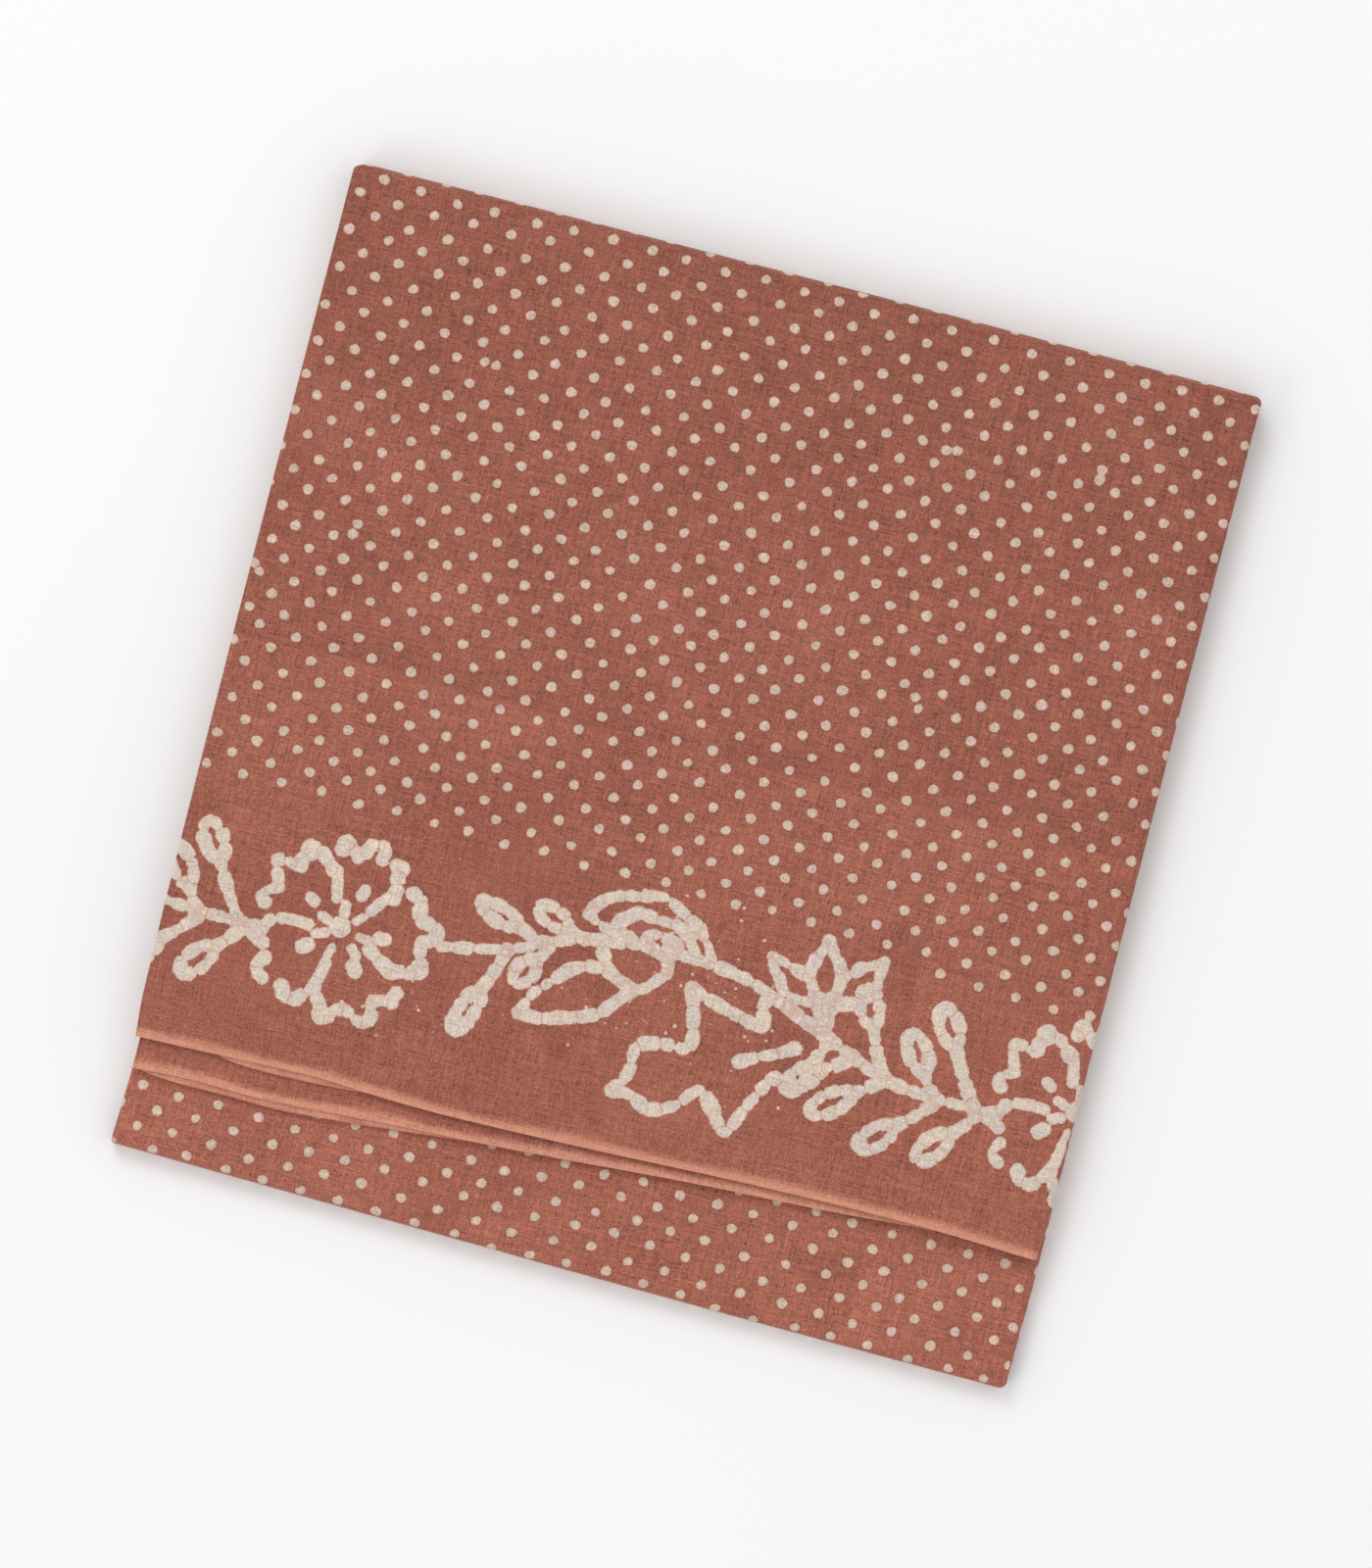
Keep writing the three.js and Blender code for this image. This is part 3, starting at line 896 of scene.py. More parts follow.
@dataclass(frozen=True)
class Blade:
    """A pointed leaf or petal drawn as two sides from its root to its tip, plain or lobed."""

    root: Place
    tip: Place
    left: float  # how far its left side swings out, seen from the root
    right: float
    lobes: int = 0
    cut: float = 0.0  # how deep the notches between lobes are, as a part of the swing
    slant: float = 0.0  # how far the lobes lean towards the tip, as a part of the length
    belly: float = 0.85  # below 1 the widest place is nearer the root
    rib: Place = (0.0, 0.0)  # where its midrib starts and ends
    half: float = 2.2
    seed: int = 1
    unevenness: float = 0.55

    def edge(self, swing: float, rng: np.random.Generator) -> Array:
        """Draws one side.

        Args:
            swing: How far it swings out to the left.
            rng: Where its unevenness is drawn from.

        Returns:
            Rows of X and Y from root to tip.
        """
        share = np.linspace(0, 1, max(4 * self.lobes, 6) + 1)
        bulge = np.sin(math.pi * share**self.belly)
        dip = np.abs(2 * ((self.lobes * share) % 1) - 1) if self.lobes else np.zeros(len(share))
        along = np.array(self.tip) - np.array(self.root)
        reach = share + self.slant * bulge * (0.5 - dip)
        swung = swing * bulge * (1 - self.cut * dip)
        places = np.array(self.root) + np.outer(reach, along)
        places += np.outer(swung, left_of(along) / np.hypot(*along))
        places[1:-1] += rng.normal(0, self.unevenness, (len(share) - 2, 2))
        return places

    def strokes(self) -> list[Stroke]:
        """Draws the blade.

        Returns:
            Its sides, each in two runs of the brush, and its midrib.
        """
        rng = np.random.default_rng(self.seed)
        made = []
        for swing in (self.left, -self.right):
            edge = self.edge(swing, rng)
            middle = len(edge) // 2 + int(rng.integers(0, 2))
            for run in (edge[: middle + 1], edge[middle:]):
                made.append(Stroke(run, self.half * rng.uniform(0.92, 1.12), ends=0.3))
        if self.rib[1] > 0:
            along = np.array(self.tip) - np.array(self.root)
            rib = np.array(self.root) + np.outer(np.linspace(*self.rib, 4), along)
            made.append(Stroke(rib + rng.normal(0, 0.4, (4, 2)), self.half * 0.85))
        return made


@dataclass(frozen=True)
class Rosebud:
    """A half-open bud: arches set one inside the next on the vine."""

    base: Place
    reach: float  # half the width of its outer arch
    rise: float
    tilt: float = 0.0
    arches: int = 3
    shift: float = 3.4  # how far each arch lies to one side of the last
    shrink: float = 0.36  # how much smaller it is, as a part of the outer one
    half: float = 2.1
    seed: int = 3

    def strokes(self) -> list[Stroke]:
        """Draws the bud.

        Returns:
            Its arches, from the outer one in, each in two runs and a root.
        """
        rng = np.random.default_rng(self.seed)
        way = heading(self.tilt)
        made = []
        for k in range(self.arches):
            size = 1 - self.shrink * k
            centre = np.array(self.base) + k * self.shift * way
            arch = oval(centre, (self.reach * size, self.rise * size), self.tilt, (160, 8), 9)
            arch = arch + rng.normal(0, 0.6, arch.shape)
            root = centre - 0.42 * self.reach * size * way
            turned = 5 + int(rng.integers(0, 2))
            made.append(Stroke(np.concatenate([[root], arch[:2]]), self.half * 0.95, ends=0.1))
            made.append(Stroke(arch[: turned + 1], self.half * rng.uniform(0.98, 1.12), ends=0.2))
            made.append(Stroke(arch[turned:], self.half * rng.uniform(0.9, 1.1), ends=0.2))
        return made


@dataclass(frozen=True)
class Tulip:
    """A flower from the side: a fan of pointed petals over a thick calyx."""

    base: Place
    heading: float
    height: float = 38.0
    spread: float = 37.0  # between the petals' tips, in degrees
    petals: int = 3
    swing: float = 5.2
    half: float = 2.05
    calyx: float = 3.8  # half the calyx's width
    seed: int = 7

    def strokes(self) -> list[Stroke]:
        """Draws the flower.

        Returns:
            The petals from left to right, and the calyx.
        """
        base = np.array(self.base)
        made = []
        for k in range(self.petals):
            angle = self.heading + self.spread * ((self.petals - 1) / 2 - k)
            root = base + 0.34 * self.height * heading(mix(self.heading, angle, 0.5))
            tip = base + self.height * heading(angle)
            petal = Blade(tuple(root), tuple(tip), self.swing, self.swing, half=self.half, seed=self.seed + k)
            made += [*petal.strokes(), Stroke(np.array([base, root]), self.half, ends=0.2)]
        return [*made, Stroke(base[None] + 4 * heading(self.heading), self.calyx)]


@dataclass(frozen=True)
class Flower:
    """An open flower: lobed petals drawn in short runs, round a heart of single dabs."""

    centre: Place
    seed: int
    size: float = 37.0
    petals: int = 5
    lobes: int = 3
    turn: float = 116.0  # the heading of the first spoke between two petals
    notch: float = 0.17  # how deep the lobes are cut, as a part of the size
    half: float = 2.35
    stamens: int = 7

    def rim(self, start: float, end: float, rng: np.random.Generator) -> Array:
        """Draws the outer edge of a petal.

        Args:
            start: The heading where it starts, in degrees.
            end: The heading where it ends.
            rng: Where its unevenness is drawn from.

        Returns:
            Rows of X and Y.
        """
        share = np.linspace(0, 1, LOBE_STEPS * self.lobes + 1)
        crown = np.sin(math.pi * share) ** 0.4
        dip = 0.5 + 0.5 * np.cos(2 * math.pi * self.lobes * share)
        radius = self.size * (0.64 + 0.34 * crown - self.notch * crown * dip)
        ways = np.array([heading(angle) for angle in mix(start, end, share)])
        return np.array(self.centre) + radius[:, None] * ways + rng.normal(0, 0.55, ways.shape)

    def heart(self, rng: np.random.Generator) -> list[Stroke]:
        """Draws the middle of the flower.

        Args:
            rng: Where its unevenness is drawn from.

        Returns:
            A large dab, the stamens round it and a floret at the root of each petal.
        """
        centre = np.array(self.centre)
        made = [Stroke(centre[None] + rng.normal(0, 1, 2), 4.2)]
        first = self.turn + 180 / self.petals
        for count, near, far, half in ((self.stamens, 0.19, 0.28, 2.0), (self.petals, 0.4, 0.46, 2.7)):
            for k in range(count):
                way = heading(first + 360 * (k + rng.uniform(-0.13, 0.13)) / count)
                reach = self.size * (np.array([near, far]) + rng.uniform(-0.02, 0.02))
                made.append(Stroke(centre + np.outer(reach, way), half * rng.uniform(0.85, 1.12), ends=0.2))
        return made

    def strokes(self) -> list[Stroke]:
        """Draws the flower.

        Returns:
            The petals' runs with a blot on each, the spokes between them and the heart.
        """
        rng = np.random.default_rng(self.seed)
        turns = self.turn + 360 / self.petals * np.arange(self.petals) + rng.normal(0, 5, self.petals)
        made = []
        for start, end in zip(turns, [*turns[1:], turns[0] + 360]):
            rim = self.rim(start, end, rng)
            for lobe in range(self.lobes):
                first = LOBE_STEPS * lobe + int(rng.integers(0, 2))
                last = LOBE_STEPS * (lobe + 1) + 1 - int(rng.integers(0, 3))
                half = self.half * rng.uniform(0.88, 1.12)
                made.append(Stroke(rim[first:last], half, ends=rng.uniform(0, 0.5), dab=5.6))
            blot = rim[3 if rng.random() < 0.5 else -4]
            made.append(Stroke(blot[None], rng.uniform(3.2, 4.3)))
            spoke = np.array(self.centre) + np.outer(self.size * np.array([0.36, 0.5, 0.63]), heading(start))
            made.append(Stroke(spoke + rng.normal(0, 0.5, spoke.shape), self.half, ends=0.4))
        return made + self.heart(rng)


@dataclass(frozen=True)
class VineBorder:
    """The flowering vine above the border third's lip, drawn in wax."""

    repeat: float = 290.0
    specks: int = 80
    seed: int = 77
    stem: tuple[Place, ...] = (
        *((-73, -86), (-48, -80.5), (-20, -69.5), (14, -66.5)),
        *((44, -69.5), (76, -82), (108, -94), (149, -96)),
    )
    flowers: tuple[Flower, ...] = (Flower((-111.0, -89.5), 5), Flower((179.0, -88.5), 5))
    blossoms: tuple[Motif, ...] = (
        Rosebud((2, -66), 26.5, 17.6, tilt=-4),
        Rosebud((0, -68), 12.5, 16, tilt=196, arches=1, seed=4),
        Tulip((77, -82), 101, 35.5),
        Blade((2, -84), (-38, -103), 6.0, 12.5, half=2.15, seed=11),
        Blade((80, -84), (4, -123), 25, 31, 3, 0.62, 0.1, rib=(0.16, 0.42), half=2.3, seed=16),
    )
    leaves: tuple[LeafLoop, ...] = (
        LeafLoop((-34, -75), Side.UP, 21, 44, 11.3, 5.4),
        LeafLoop((-20, -69.5), Side.UP, 15, 42, 9.0, 5.8),
        LeafLoop((-33, -76), Side.DOWN, 13, 18, 8.0, 6.0),
        LeafLoop((-48, -81), Side.DOWN, 28, 28, 11.0, 5.6),
        LeafLoop((103, -92.5), Side.UP, 27, -3, 9.6),
        LeafLoop((124, -96), Side.UP, 19, 5),
        LeafLoop((140, -96), Side.UP, 33, 3),
        LeafLoop((90, -88), Side.DOWN, 20, -6, 9.0, 6.0),
        LeafLoop((104, -93), Side.DOWN, 23, -4, 11.0),
        LeafLoop((124, -98), Side.DOWN, 25, 2),
        LeafLoop((142, -97), Side.DOWN, 22, 8),
    )
    splashed: tuple[Place, ...] = (  # what the drops of wax lie round
        *((12, -57), (22, -75), (36, -76), (34, -92)),
        *((52, -104), (-4, -96), (-90, -112)),
    )

    def strokes(self) -> list[Stroke]:
        """Draws the border.

        Returns:
            Every stroke that shows, with the ends of the next repeat beside it.
        """
        unit = [Stroke(np.array(self.stem), 2.2, ends=0.1)]
        for motif in (*self.blossoms, *self.leaves):
            unit += motif.strokes()
        moved = [replace(stroke, points=stroke.points - (self.repeat, 0)) for stroke in unit]
        for flower in self.flowers:
            unit += flower.strokes()
        return unit + [stroke for stroke in moved if stroke.points[:, 0].max() > LEFT_END]

    def splashes(self) -> Array:
        """Lays out small drops of wax beside the strokes.

        Returns:
            Rows of X, Y and radius.
        """
        rng = np.random.default_rng(self.seed)
        home = np.array(self.splashed)[rng.integers(0, len(self.splashed), self.specks)]
        spots = home + rng.normal(0, 1, (self.specks, 2)) * np.array([17, 9])
        return np.column_stack([spots, 0.34 + 0.5 * rng.random(self.specks) ** 2])


@dataclass(frozen=True)
class DottedField:
    """Dots of wax in staggered columns, pressed on by hand."""

    origin: Place
    first_row: int
    last_row: int
    row: float = 7.0
    column: float = 15.0
    columns: int = 15  # on each side of the origin
    lean: float = 0.09  # how far the columns lean to the right
    slope: float = -0.009  # how the rows rise to the right
    bow: Place = (-2.4, 1.6)  # how columns and rows bend, over 100 mm squared
    radius: float = 1.97
    seed: int = 12
    doubled: float = 0.009  # the share of dots with a second one touching
    lower_edge: Line | None = None

    def dots(self) -> Array:
        """Lays out the dots.

        Returns:
            Rows of X, Y, radius, how much longer than wide, heading, and tint.
        """
        rng = np.random.default_rng(self.seed)
        made = []
        for j in range(self.first_row, self.last_row):
            across = self.column * (np.arange(-self.columns, self.columns + 1) + 0.5 * (j % 2))
            up = self.row * j
            bend = (up / 100) ** 2
            x = self.origin[0] + across + self.lean * up + self.bow[0] * bend
            made.append(pairs(x, self.origin[1] + self.slope * across + up + self.bow[1] * bend))
        spots = np.concatenate(made)
        drifts = (Swell(0.65, 80, self.seed + 1), Swell(0.6, 70, self.seed + 2))
        drift = np.column_stack([swell.at(*spots.T) for swell in drifts])
        spots = spots + drift + rng.normal(0, 0.5, spots.shape)
        if self.lower_edge:
            spots = spots[spots[:, 1] > self.lower_edge.at(spots[:, 0])]
        chosen = spots[rng.random(len(spots)) < self.doubled]
        turns = rng.uniform(0, FULL_TURN, len(chosen))
        away = rng.uniform(3.6, 4.6, len(chosen))[:, None]
        spots = np.concatenate([spots, chosen + away * pairs(np.cos(turns), np.sin(turns))])
        count = len(spots)
        radius = self.radius * (1 + rng.normal(0, 0.045, count))
        longer = 1.04 + np.abs(rng.normal(0, 0.1, count))
        turned = rng.normal(0.25, 0.5, count)
        return np.column_stack([spots, radius, longer, turned, rng.uniform(0, 1, count)])


@dataclass
class FabricPrint:
    """What is on one stretch of cloth: its dots, its strokes and its selvedge."""

    dotted: DottedField | None = None
    vine: VineBorder | None = None
    lip: PlanLine | None = None
    tone: float = 0.0  # above zero the cloth is lighter
    band: float = 5.2
    net_pitch: float = 0.8  # between the places of the fine net under the strokes
    net_across: Place = (-184, 186)
    net_along: Place = (-134, -40)
    dots: Array = field(init=False)
    tree: KDTree = field(init=False)

    def __post_init__(self) -> None:
        """Lays out the dots, and the drops as dots with a tint below zero."""
        self.dots = self.dotted.dots() if self.dotted else np.zeros((0, 6))
        if self.vine:
            drops = self.vine.splashes()
            blank = np.zeros(len(drops))
            self.dots = np.concatenate([self.dots, np.column_stack([drops, blank + 1, blank, blank - 1])])
        self.tree = KDTree(max(len(self.dots), 1))
        for k, dot in enumerate(self.dots):
            self.tree.insert((dot[0], dot[1], 0), k)
        self.tree.balance()

    def round_dots(self, places: Array) -> tuple[Array, Array]:
        """Measures places against the dots.

        Args:
            places: Rows of s and t.

        Returns:
            How deep inside a dot each lies, and which dot is nearest.
        """
        if not len(self.dots):
            return np.full(len(places), OUTSIDE), np.zeros(len(places), int)
        near = np.array([self.tree.find((x, y, 0))[1] for x, y in places])
        x, y, radius, longer, turned, _ = self.dots[near].T
        dx, dy = places[:, 0] - x, places[:, 1] - y
        u = dx * np.cos(turned) + dy * np.sin(turned)
        v = dy * np.cos(turned) - dx * np.sin(turned)
        size = np.hypot(u / np.sqrt(longer), v * np.sqrt(longer))
        angle = np.arctan2(v, u)
        ragged = 1 + 0.05 * np.sin(3 * angle + 9 * turned) + 0.035 * np.sin(5 * angle + 5 * turned)
        return radius * ragged - size, near

    def strokes(self, places: Array) -> tuple[Array, Array, Array]:
        """Measures places against the vine.

        Args:
            places: Rows of s and t.

        Returns:
            How deep inside the wax each lies, how far past a seam, and how strongly the seam is marked.
        """
        wax = np.full(len(places), OUTSIDE)
        seam = np.full(len(places), FAR)
        mark = np.zeros(len(places))
        for k, stroke in enumerate(self.vine.strokes() if self.vine else ()):
            path, _ = stroke.trail()
            low, high = path.min(0) - STROKE_REACH, path.max(0) + STROKE_REACH
            near = np.flatnonzero(((places > low) & (places < high)).all(1))
            if not len(near):
                continue
            deep, past, strength = stroke.measure(places[near], k)
            upper = deep > wax[near]
            past = np.where(upper, past, seam[near])
            strength = np.where(upper, strength, mark[near])
            meet = np.where((deep > -0.2) & (wax[near] > -0.2), 0.7 * (deep - wax[near]), FAR)
            closer = np.abs(meet) < np.abs(past)
            seam[near] = np.where(closer, meet, past)
            mark[near] = np.where(closer, MEET_MARK, strength)
            wax[near] = np.maximum(wax[near], deep)
        return wax, seam, np.where(np.abs(seam) < SEAM_REACH, mark, 0.0)

    def measure(self, places: Array) -> dict[str, Array]:
        """Works out the cloth's pattern.

        Args:
            places: Rows of s and t.

        Returns:
            The mesh attributes wax, seam, mark, dot, tint, band and tone; tone holds the creases' painted
            light and shade.
        """
        s, t = places.T
        dots, near = self.round_dots(places)
        strokes, seam, mark = self.strokes(places)
        is_dot = dots > strokes
        tint = self.dots[near, 5] if len(self.dots) else np.zeros(len(places))
        band = np.zeros(len(places))
        if self.lip:
            band = np.clip(1 - (t - self.lip(s)) / (self.band + Swell(0.5, 60, 3).along(s)), 0, 1)
        tone = self.tone + Swell(0.3, 55, 19).at(s, t) + Swell(0.2, 140, 20).at(s, t)
        # darker towards +Y, most of all past 80 mm
        tone = tone - 0.3 * np.clip(t, -200, 200) / 100 - smooth((t - 80) / 90)
        return {
            "wax": np.clip(np.maximum(dots, strokes), OUTSIDE, -OUTSIDE),
            "seam": np.clip(seam, OUTSIDE, -OUTSIDE),
            "mark": np.where(is_dot, 0.0, mark),
            "dot": np.where(is_dot & (tint >= 0), 1.0, 0.0),
            "tint": np.where(is_dot & (tint >= 0), tint, 0.5),
            "band": band,
            # the creases add their painted highlights and painted shade to the tone
            "tone": tone + sum(crease.tone(s, t) for crease in CREASES),
        }

    def net(self) -> Array:
        """Lays out the fine net of places that the strokes need.

        Returns:
            Rows of s and t, those near an edge or a seam and some of those between.
        """
        s = np.arange(*self.net_across, self.net_pitch)
        rows = enumerate(np.arange(*self.net_along, self.net_pitch * 0.866))
        fine = np.concatenate([pairs(s + self.net_pitch / 2 * (k % 2), np.full(len(s), t)) for k, t in rows])
        wax, seam, mark = self.strokes(fine)
        keep = (np.abs(wax) < 0.85) | ((wax > 0) & (mark > 0.25) & (np.abs(seam) < 0.8))
        keep[::7] |= wax[::7] > 0.9
        return fine[keep]

    def points(self) -> Array:
        """Lays out the flat places that the pattern needs.

        Returns:
            Rows of s and t: rings round the dots, and the net along the strokes.
        """
        made = [np.zeros((0, 2))]
        around = np.linspace(0, FULL_TURN, 13)[:-1]
        ring = pairs(np.cos(around), np.sin(around))
        for x, y, radius, _, _, tint in self.dots:
            slim, steps = (ring[::2], (0.7, -0.1)) if tint < 0 else (ring, (0.55, 0.0, -0.9))
            made += [np.array([x, y]) + slim * (radius + step) for step in steps]
            made.append(np.array([[x, y]]))
        return np.concatenate([*made, self.net()] if self.vine else made)


# ---- cloth meshes ----
@dataclass
class ClothSheet:
    """A stretch of cloth as a closed thin sheet: an outer face, an inner face and the rim between."""

    name: str
    stretch: Stretch
    pattern: FabricPrint
    thickness: float = CLOTH
    margin: float = 0.35  # between the outline and the places inside it
    cell: float = 0.42  # the least distance between two places

    def points(self, with_pattern: bool) -> Array:
        """Lays out the net of one face.

        Args:
            with_pattern: Whether the pattern's own places are in the net.

        Returns:
            Rows of s and t, the outline first, then the places inside it.
        """
        net = self.stretch.grid()
        if with_pattern:
            net = np.concatenate([self.pattern.points(), *(crease.beside() for crease in CREASES), net])
        else:
            net = net[::2]
        net = net[self.stretch.inside(net, self.margin)]
        _, first = np.unique(np.round(net / self.cell).astype(int), axis=0, return_index=True)
        return np.concatenate([self.stretch.outline(), net[np.sort(first)]])

    def face(self, with_pattern: bool) -> tuple[Array, Array, Array]:
        """Triangulates one face.

        Args:
            with_pattern: Whether the pattern's own places are in the net.

        Returns:
            The flat places, the triangles, and the indices of the outline in order.
        """
        count = len(self.stretch.outline())
        net = [Vector(place) for place in self.points(with_pattern)]
        found = delaunay_2d_cdt(net, [], [list(range(count))], 1, 1e-5)
        places = np.array(found[0])
        triangles = np.array([f for f in found[2] if len(f) == 3])
        a, b, c = (places[triangles[:, k]] for k in range(3))
        area = (b - a)[:, 0] * (c - a)[:, 1] - (b - a)[:, 1] * (c - a)[:, 0]
        triangles = np.where(area[:, None] > 0, triangles, triangles[:, ::-1])
        home = {origin: index for index, origins in enumerate(found[3]) for origin in origins}
        return places, triangles[np.abs(area) > 1e-7], np.array([home[k] for k in range(count)])

    def build(self) -> bpy.types.Object:
        """Makes the sheet.

        Returns:
            Its object, with its pattern attributes.
        """
        outer, outer_faces, outer_rim = self.face(True)
        inner, inner_faces, inner_rim = self.face(False)
        top = self.stretch.place(outer, 0.0)
        bottom = self.stretch.place(inner, self.thickness)
        ahead, below = np.roll(outer_rim, -1), inner_rim + len(top)
        below_ahead = np.roll(below, -1)
        triangles = np.concatenate([outer_faces, inner_faces[:, ::-1] + len(top)])
        if self.stretch.faces_down:
            triangles = triangles[:, ::-1]
        first = np.column_stack([outer_rim, below, below_ahead])
        second = np.column_stack([outer_rim, below_ahead, ahead])
        triangles = np.concatenate([triangles, first, second])
        mesh = new_mesh(self.name, np.concatenate([top, bottom]) * MM, triangles)
        for name, value in self.pattern.measure(outer).items():
            under = np.full(len(inner), OUTSIDE if name == "wax" else 0.0)
            attribute = mesh.attributes.new(name, "FLOAT", "POINT")
            attribute.data.foreach_set("value", np.concatenate([value, under]).astype(np.float32))
        return put_in_scene(self.name, mesh)


def new_mesh(name: str, vertices: Array, faces: Array | list, sharp: float = 52.0) -> bpy.types.Mesh:
    """Makes a smooth-shaded mesh with sharp edges at its rims.

    Args:
        name: The mesh's name.
        vertices: Rows of X, Y and Z in metres.
        faces: Rows of vertex indices.
        sharp: The angle in degrees from which an edge is sharp.

    Returns:
        The mesh.
    """
    mesh = bpy.data.meshes.new(name)
    mesh.from_pydata(vertices.tolist(), [], [list(map(int, f)) for f in faces])
    mesh.validate()
    mesh.shade_smooth()
    mesh.set_sharp_from_angle(angle=math.radians(sharp))
    return mesh


def put_in_scene(name: str, data: bpy.types.ID) -> bpy.types.Object:
    """Makes an object of a mesh, a camera or a light.

    Args:
        name: The object's name.
        data: What it shows.

    Returns:
        The object, linked to the scene.
    """
    made = bpy.data.objects.new(name, data)
    bpy.context.scene.collection.objects.link(made)
    return made


# ---- node trees, for materials and for what repeats ----
Socket = bpy.types.NodeSocket
Colour = tuple[float, float, float]
Inputs = dict[str | int, object]


def dye(red: float, green: float, blue: float) -> tuple[float, float, float, float]:
    """Turns a screen colour into the shader's linear one.

    Args:
        red: Its red, up to 255.
        green: Its green.
        blue: Its blue.

    Returns:
        The linear colour and an alpha of 1.
    """
    shares = [c / 255 for c in (red, green, blue)]
    linear = [c / 12.92 if c <= 0.04045 else ((c + 0.055) / 1.055) ** 2.4 for c in shares]
    return (*linear, 1.0)


class Nodes:
    """A node tree that nodes are added to, each with what goes into it."""

    def __init__(self, tree: bpy.types.NodeTree) -> None:
        """Takes over a tree."""
        self.tree = tree

    def feed(self, socket: Socket, value: bpy.types.Node | Socket | float | tuple) -> None:
        """Sets what goes into a socket.

        Args:
            socket: The socket.
            value: A node whose first output is linked to it, another socket, or a plain value.
        """
        if isinstance(value, bpy.types.Node):
            value = value.outputs[0]
        if isinstance(value, bpy.types.NodeSocket):
            self.tree.links.new(value, socket)
        else:
            socket.default_value = value

    def node(self, kind: str, inputs: Inputs | None = None, **settings: object) -> bpy.types.Node:
        """Adds a node.

        Args:
            kind: Its type.
            inputs: What goes into its sockets, by name or number.
            settings: Its properties.

        Returns:
            The node.
        """
        made = self.tree.nodes.new(kind)
        for name, value in settings.items():
            setattr(made, name, value)
        for key, value in (inputs or {}).items():
            self.feed(made.inputs[key], value)
        return made


class Shader(Nodes):
    """A material's node tree, with short calls for the nodes that the finishes use."""

    def __init__(self, name: str) -> None:
        """Starts an empty node tree.

        Args:
            name: The material's name.
        """
        self.material = bpy.data.materials.new(name)
        self.material.use_nodes = True
        super().__init__(self.material.node_tree)
        self.tree.nodes.clear()
        self.place = self.node("ShaderNodeTexCoord").outputs["Object"]

    def math(self, operation: str, a: Socket | float, b: Socket | float = 0.0) -> Socket:
        """One arithmetic step."""
        return self.node("ShaderNodeMath", {0: a, 1: b}, operation=operation).outputs[0]

    def add(self, a: Socket | float, b: Socket | float) -> Socket:
        """The sum of two values."""
        return self.math("ADD", a, b)

    def times(self, a: Socket | float, b: Socket | float) -> Socket:
        """The product of two values."""
        return self.math("MULTIPLY", a, b)

    def ramp(self, value: Socket, low: float, high: float, start: float = 0.0, end: float = 1.0) -> Socket:
        """A soft step of a value from low to high, between start and end."""
        ends = {"Value": value, "From Min": low, "From Max": high, "To Min": start, "To Max": end}
        return self.node("ShaderNodeMapRange", ends, interpolation_type="SMOOTHSTEP").outputs[0]

    def blend(self, share: Socket | float, a: Socket | tuple, b: Socket | tuple, way: str = "MIX") -> Socket:
        """Mixes two colours by a share."""
        settings = {"data_type": "RGBA", "blend_type": way, "clamp_result": False}
        return self.node("ShaderNodeMix", {0: share, 6: a, 7: b}, **settings).outputs[2]

    def lit(self, colour: Socket | tuple, value: Socket, factor: float, level: float = 1.0) -> Socket:
        """Makes a colour lighter or darker.

        Args:
            colour: The colour.
            value: By what it changes, round zero.
            factor: How much of that counts.
            level: What the colour is multiplied by where the value is zero.

        Returns:
            The changed colour.
        """
        return self.blend(1.0, colour, self.add(self.times(value, factor), level), "MULTIPLY")

    def noise(self, across: float, along: float, up: float = 1.0, detail: float = 2.0) -> Socket:
        """Makes soft noise.

        Args:
            across: The length of its grains along X, in millimetres.
            along: The same along Y.
            up: The same along Z.
            detail: How many finer layers it has.

        Returns:
            A value from about -0.5 to 0.5.
        """
        scale = (1 / (across * MM), 1 / (along * MM), 1 / (up * MM))
        place = self.node("ShaderNodeMapping", {"Vector": self.place, "Scale": scale})
        inputs = {"Vector": place, "Scale": 1.0, "Detail": detail}
        return self.math("SUBTRACT", self.node("ShaderNodeTexNoise", inputs).outputs[0], 0.5)

    def read(self, name: str) -> Socket:
        """Reads one of the mesh's attributes."""
        return self.node("ShaderNodeAttribute", attribute_name=name).outputs["Fac"]

    def finish(self, **surface: object) -> bpy.types.Material:
        """Ends the tree.

        Args:
            surface: What goes into the surface's sockets, with underscores for spaces in their names.

        Returns:
            The material.
        """
        inputs = {name.replace("_", " "): value for name, value in surface.items()}
        self.node("ShaderNodeOutputMaterial", {"Surface": self.node("ShaderNodeBsdfPrincipled", inputs)})
        return self.material


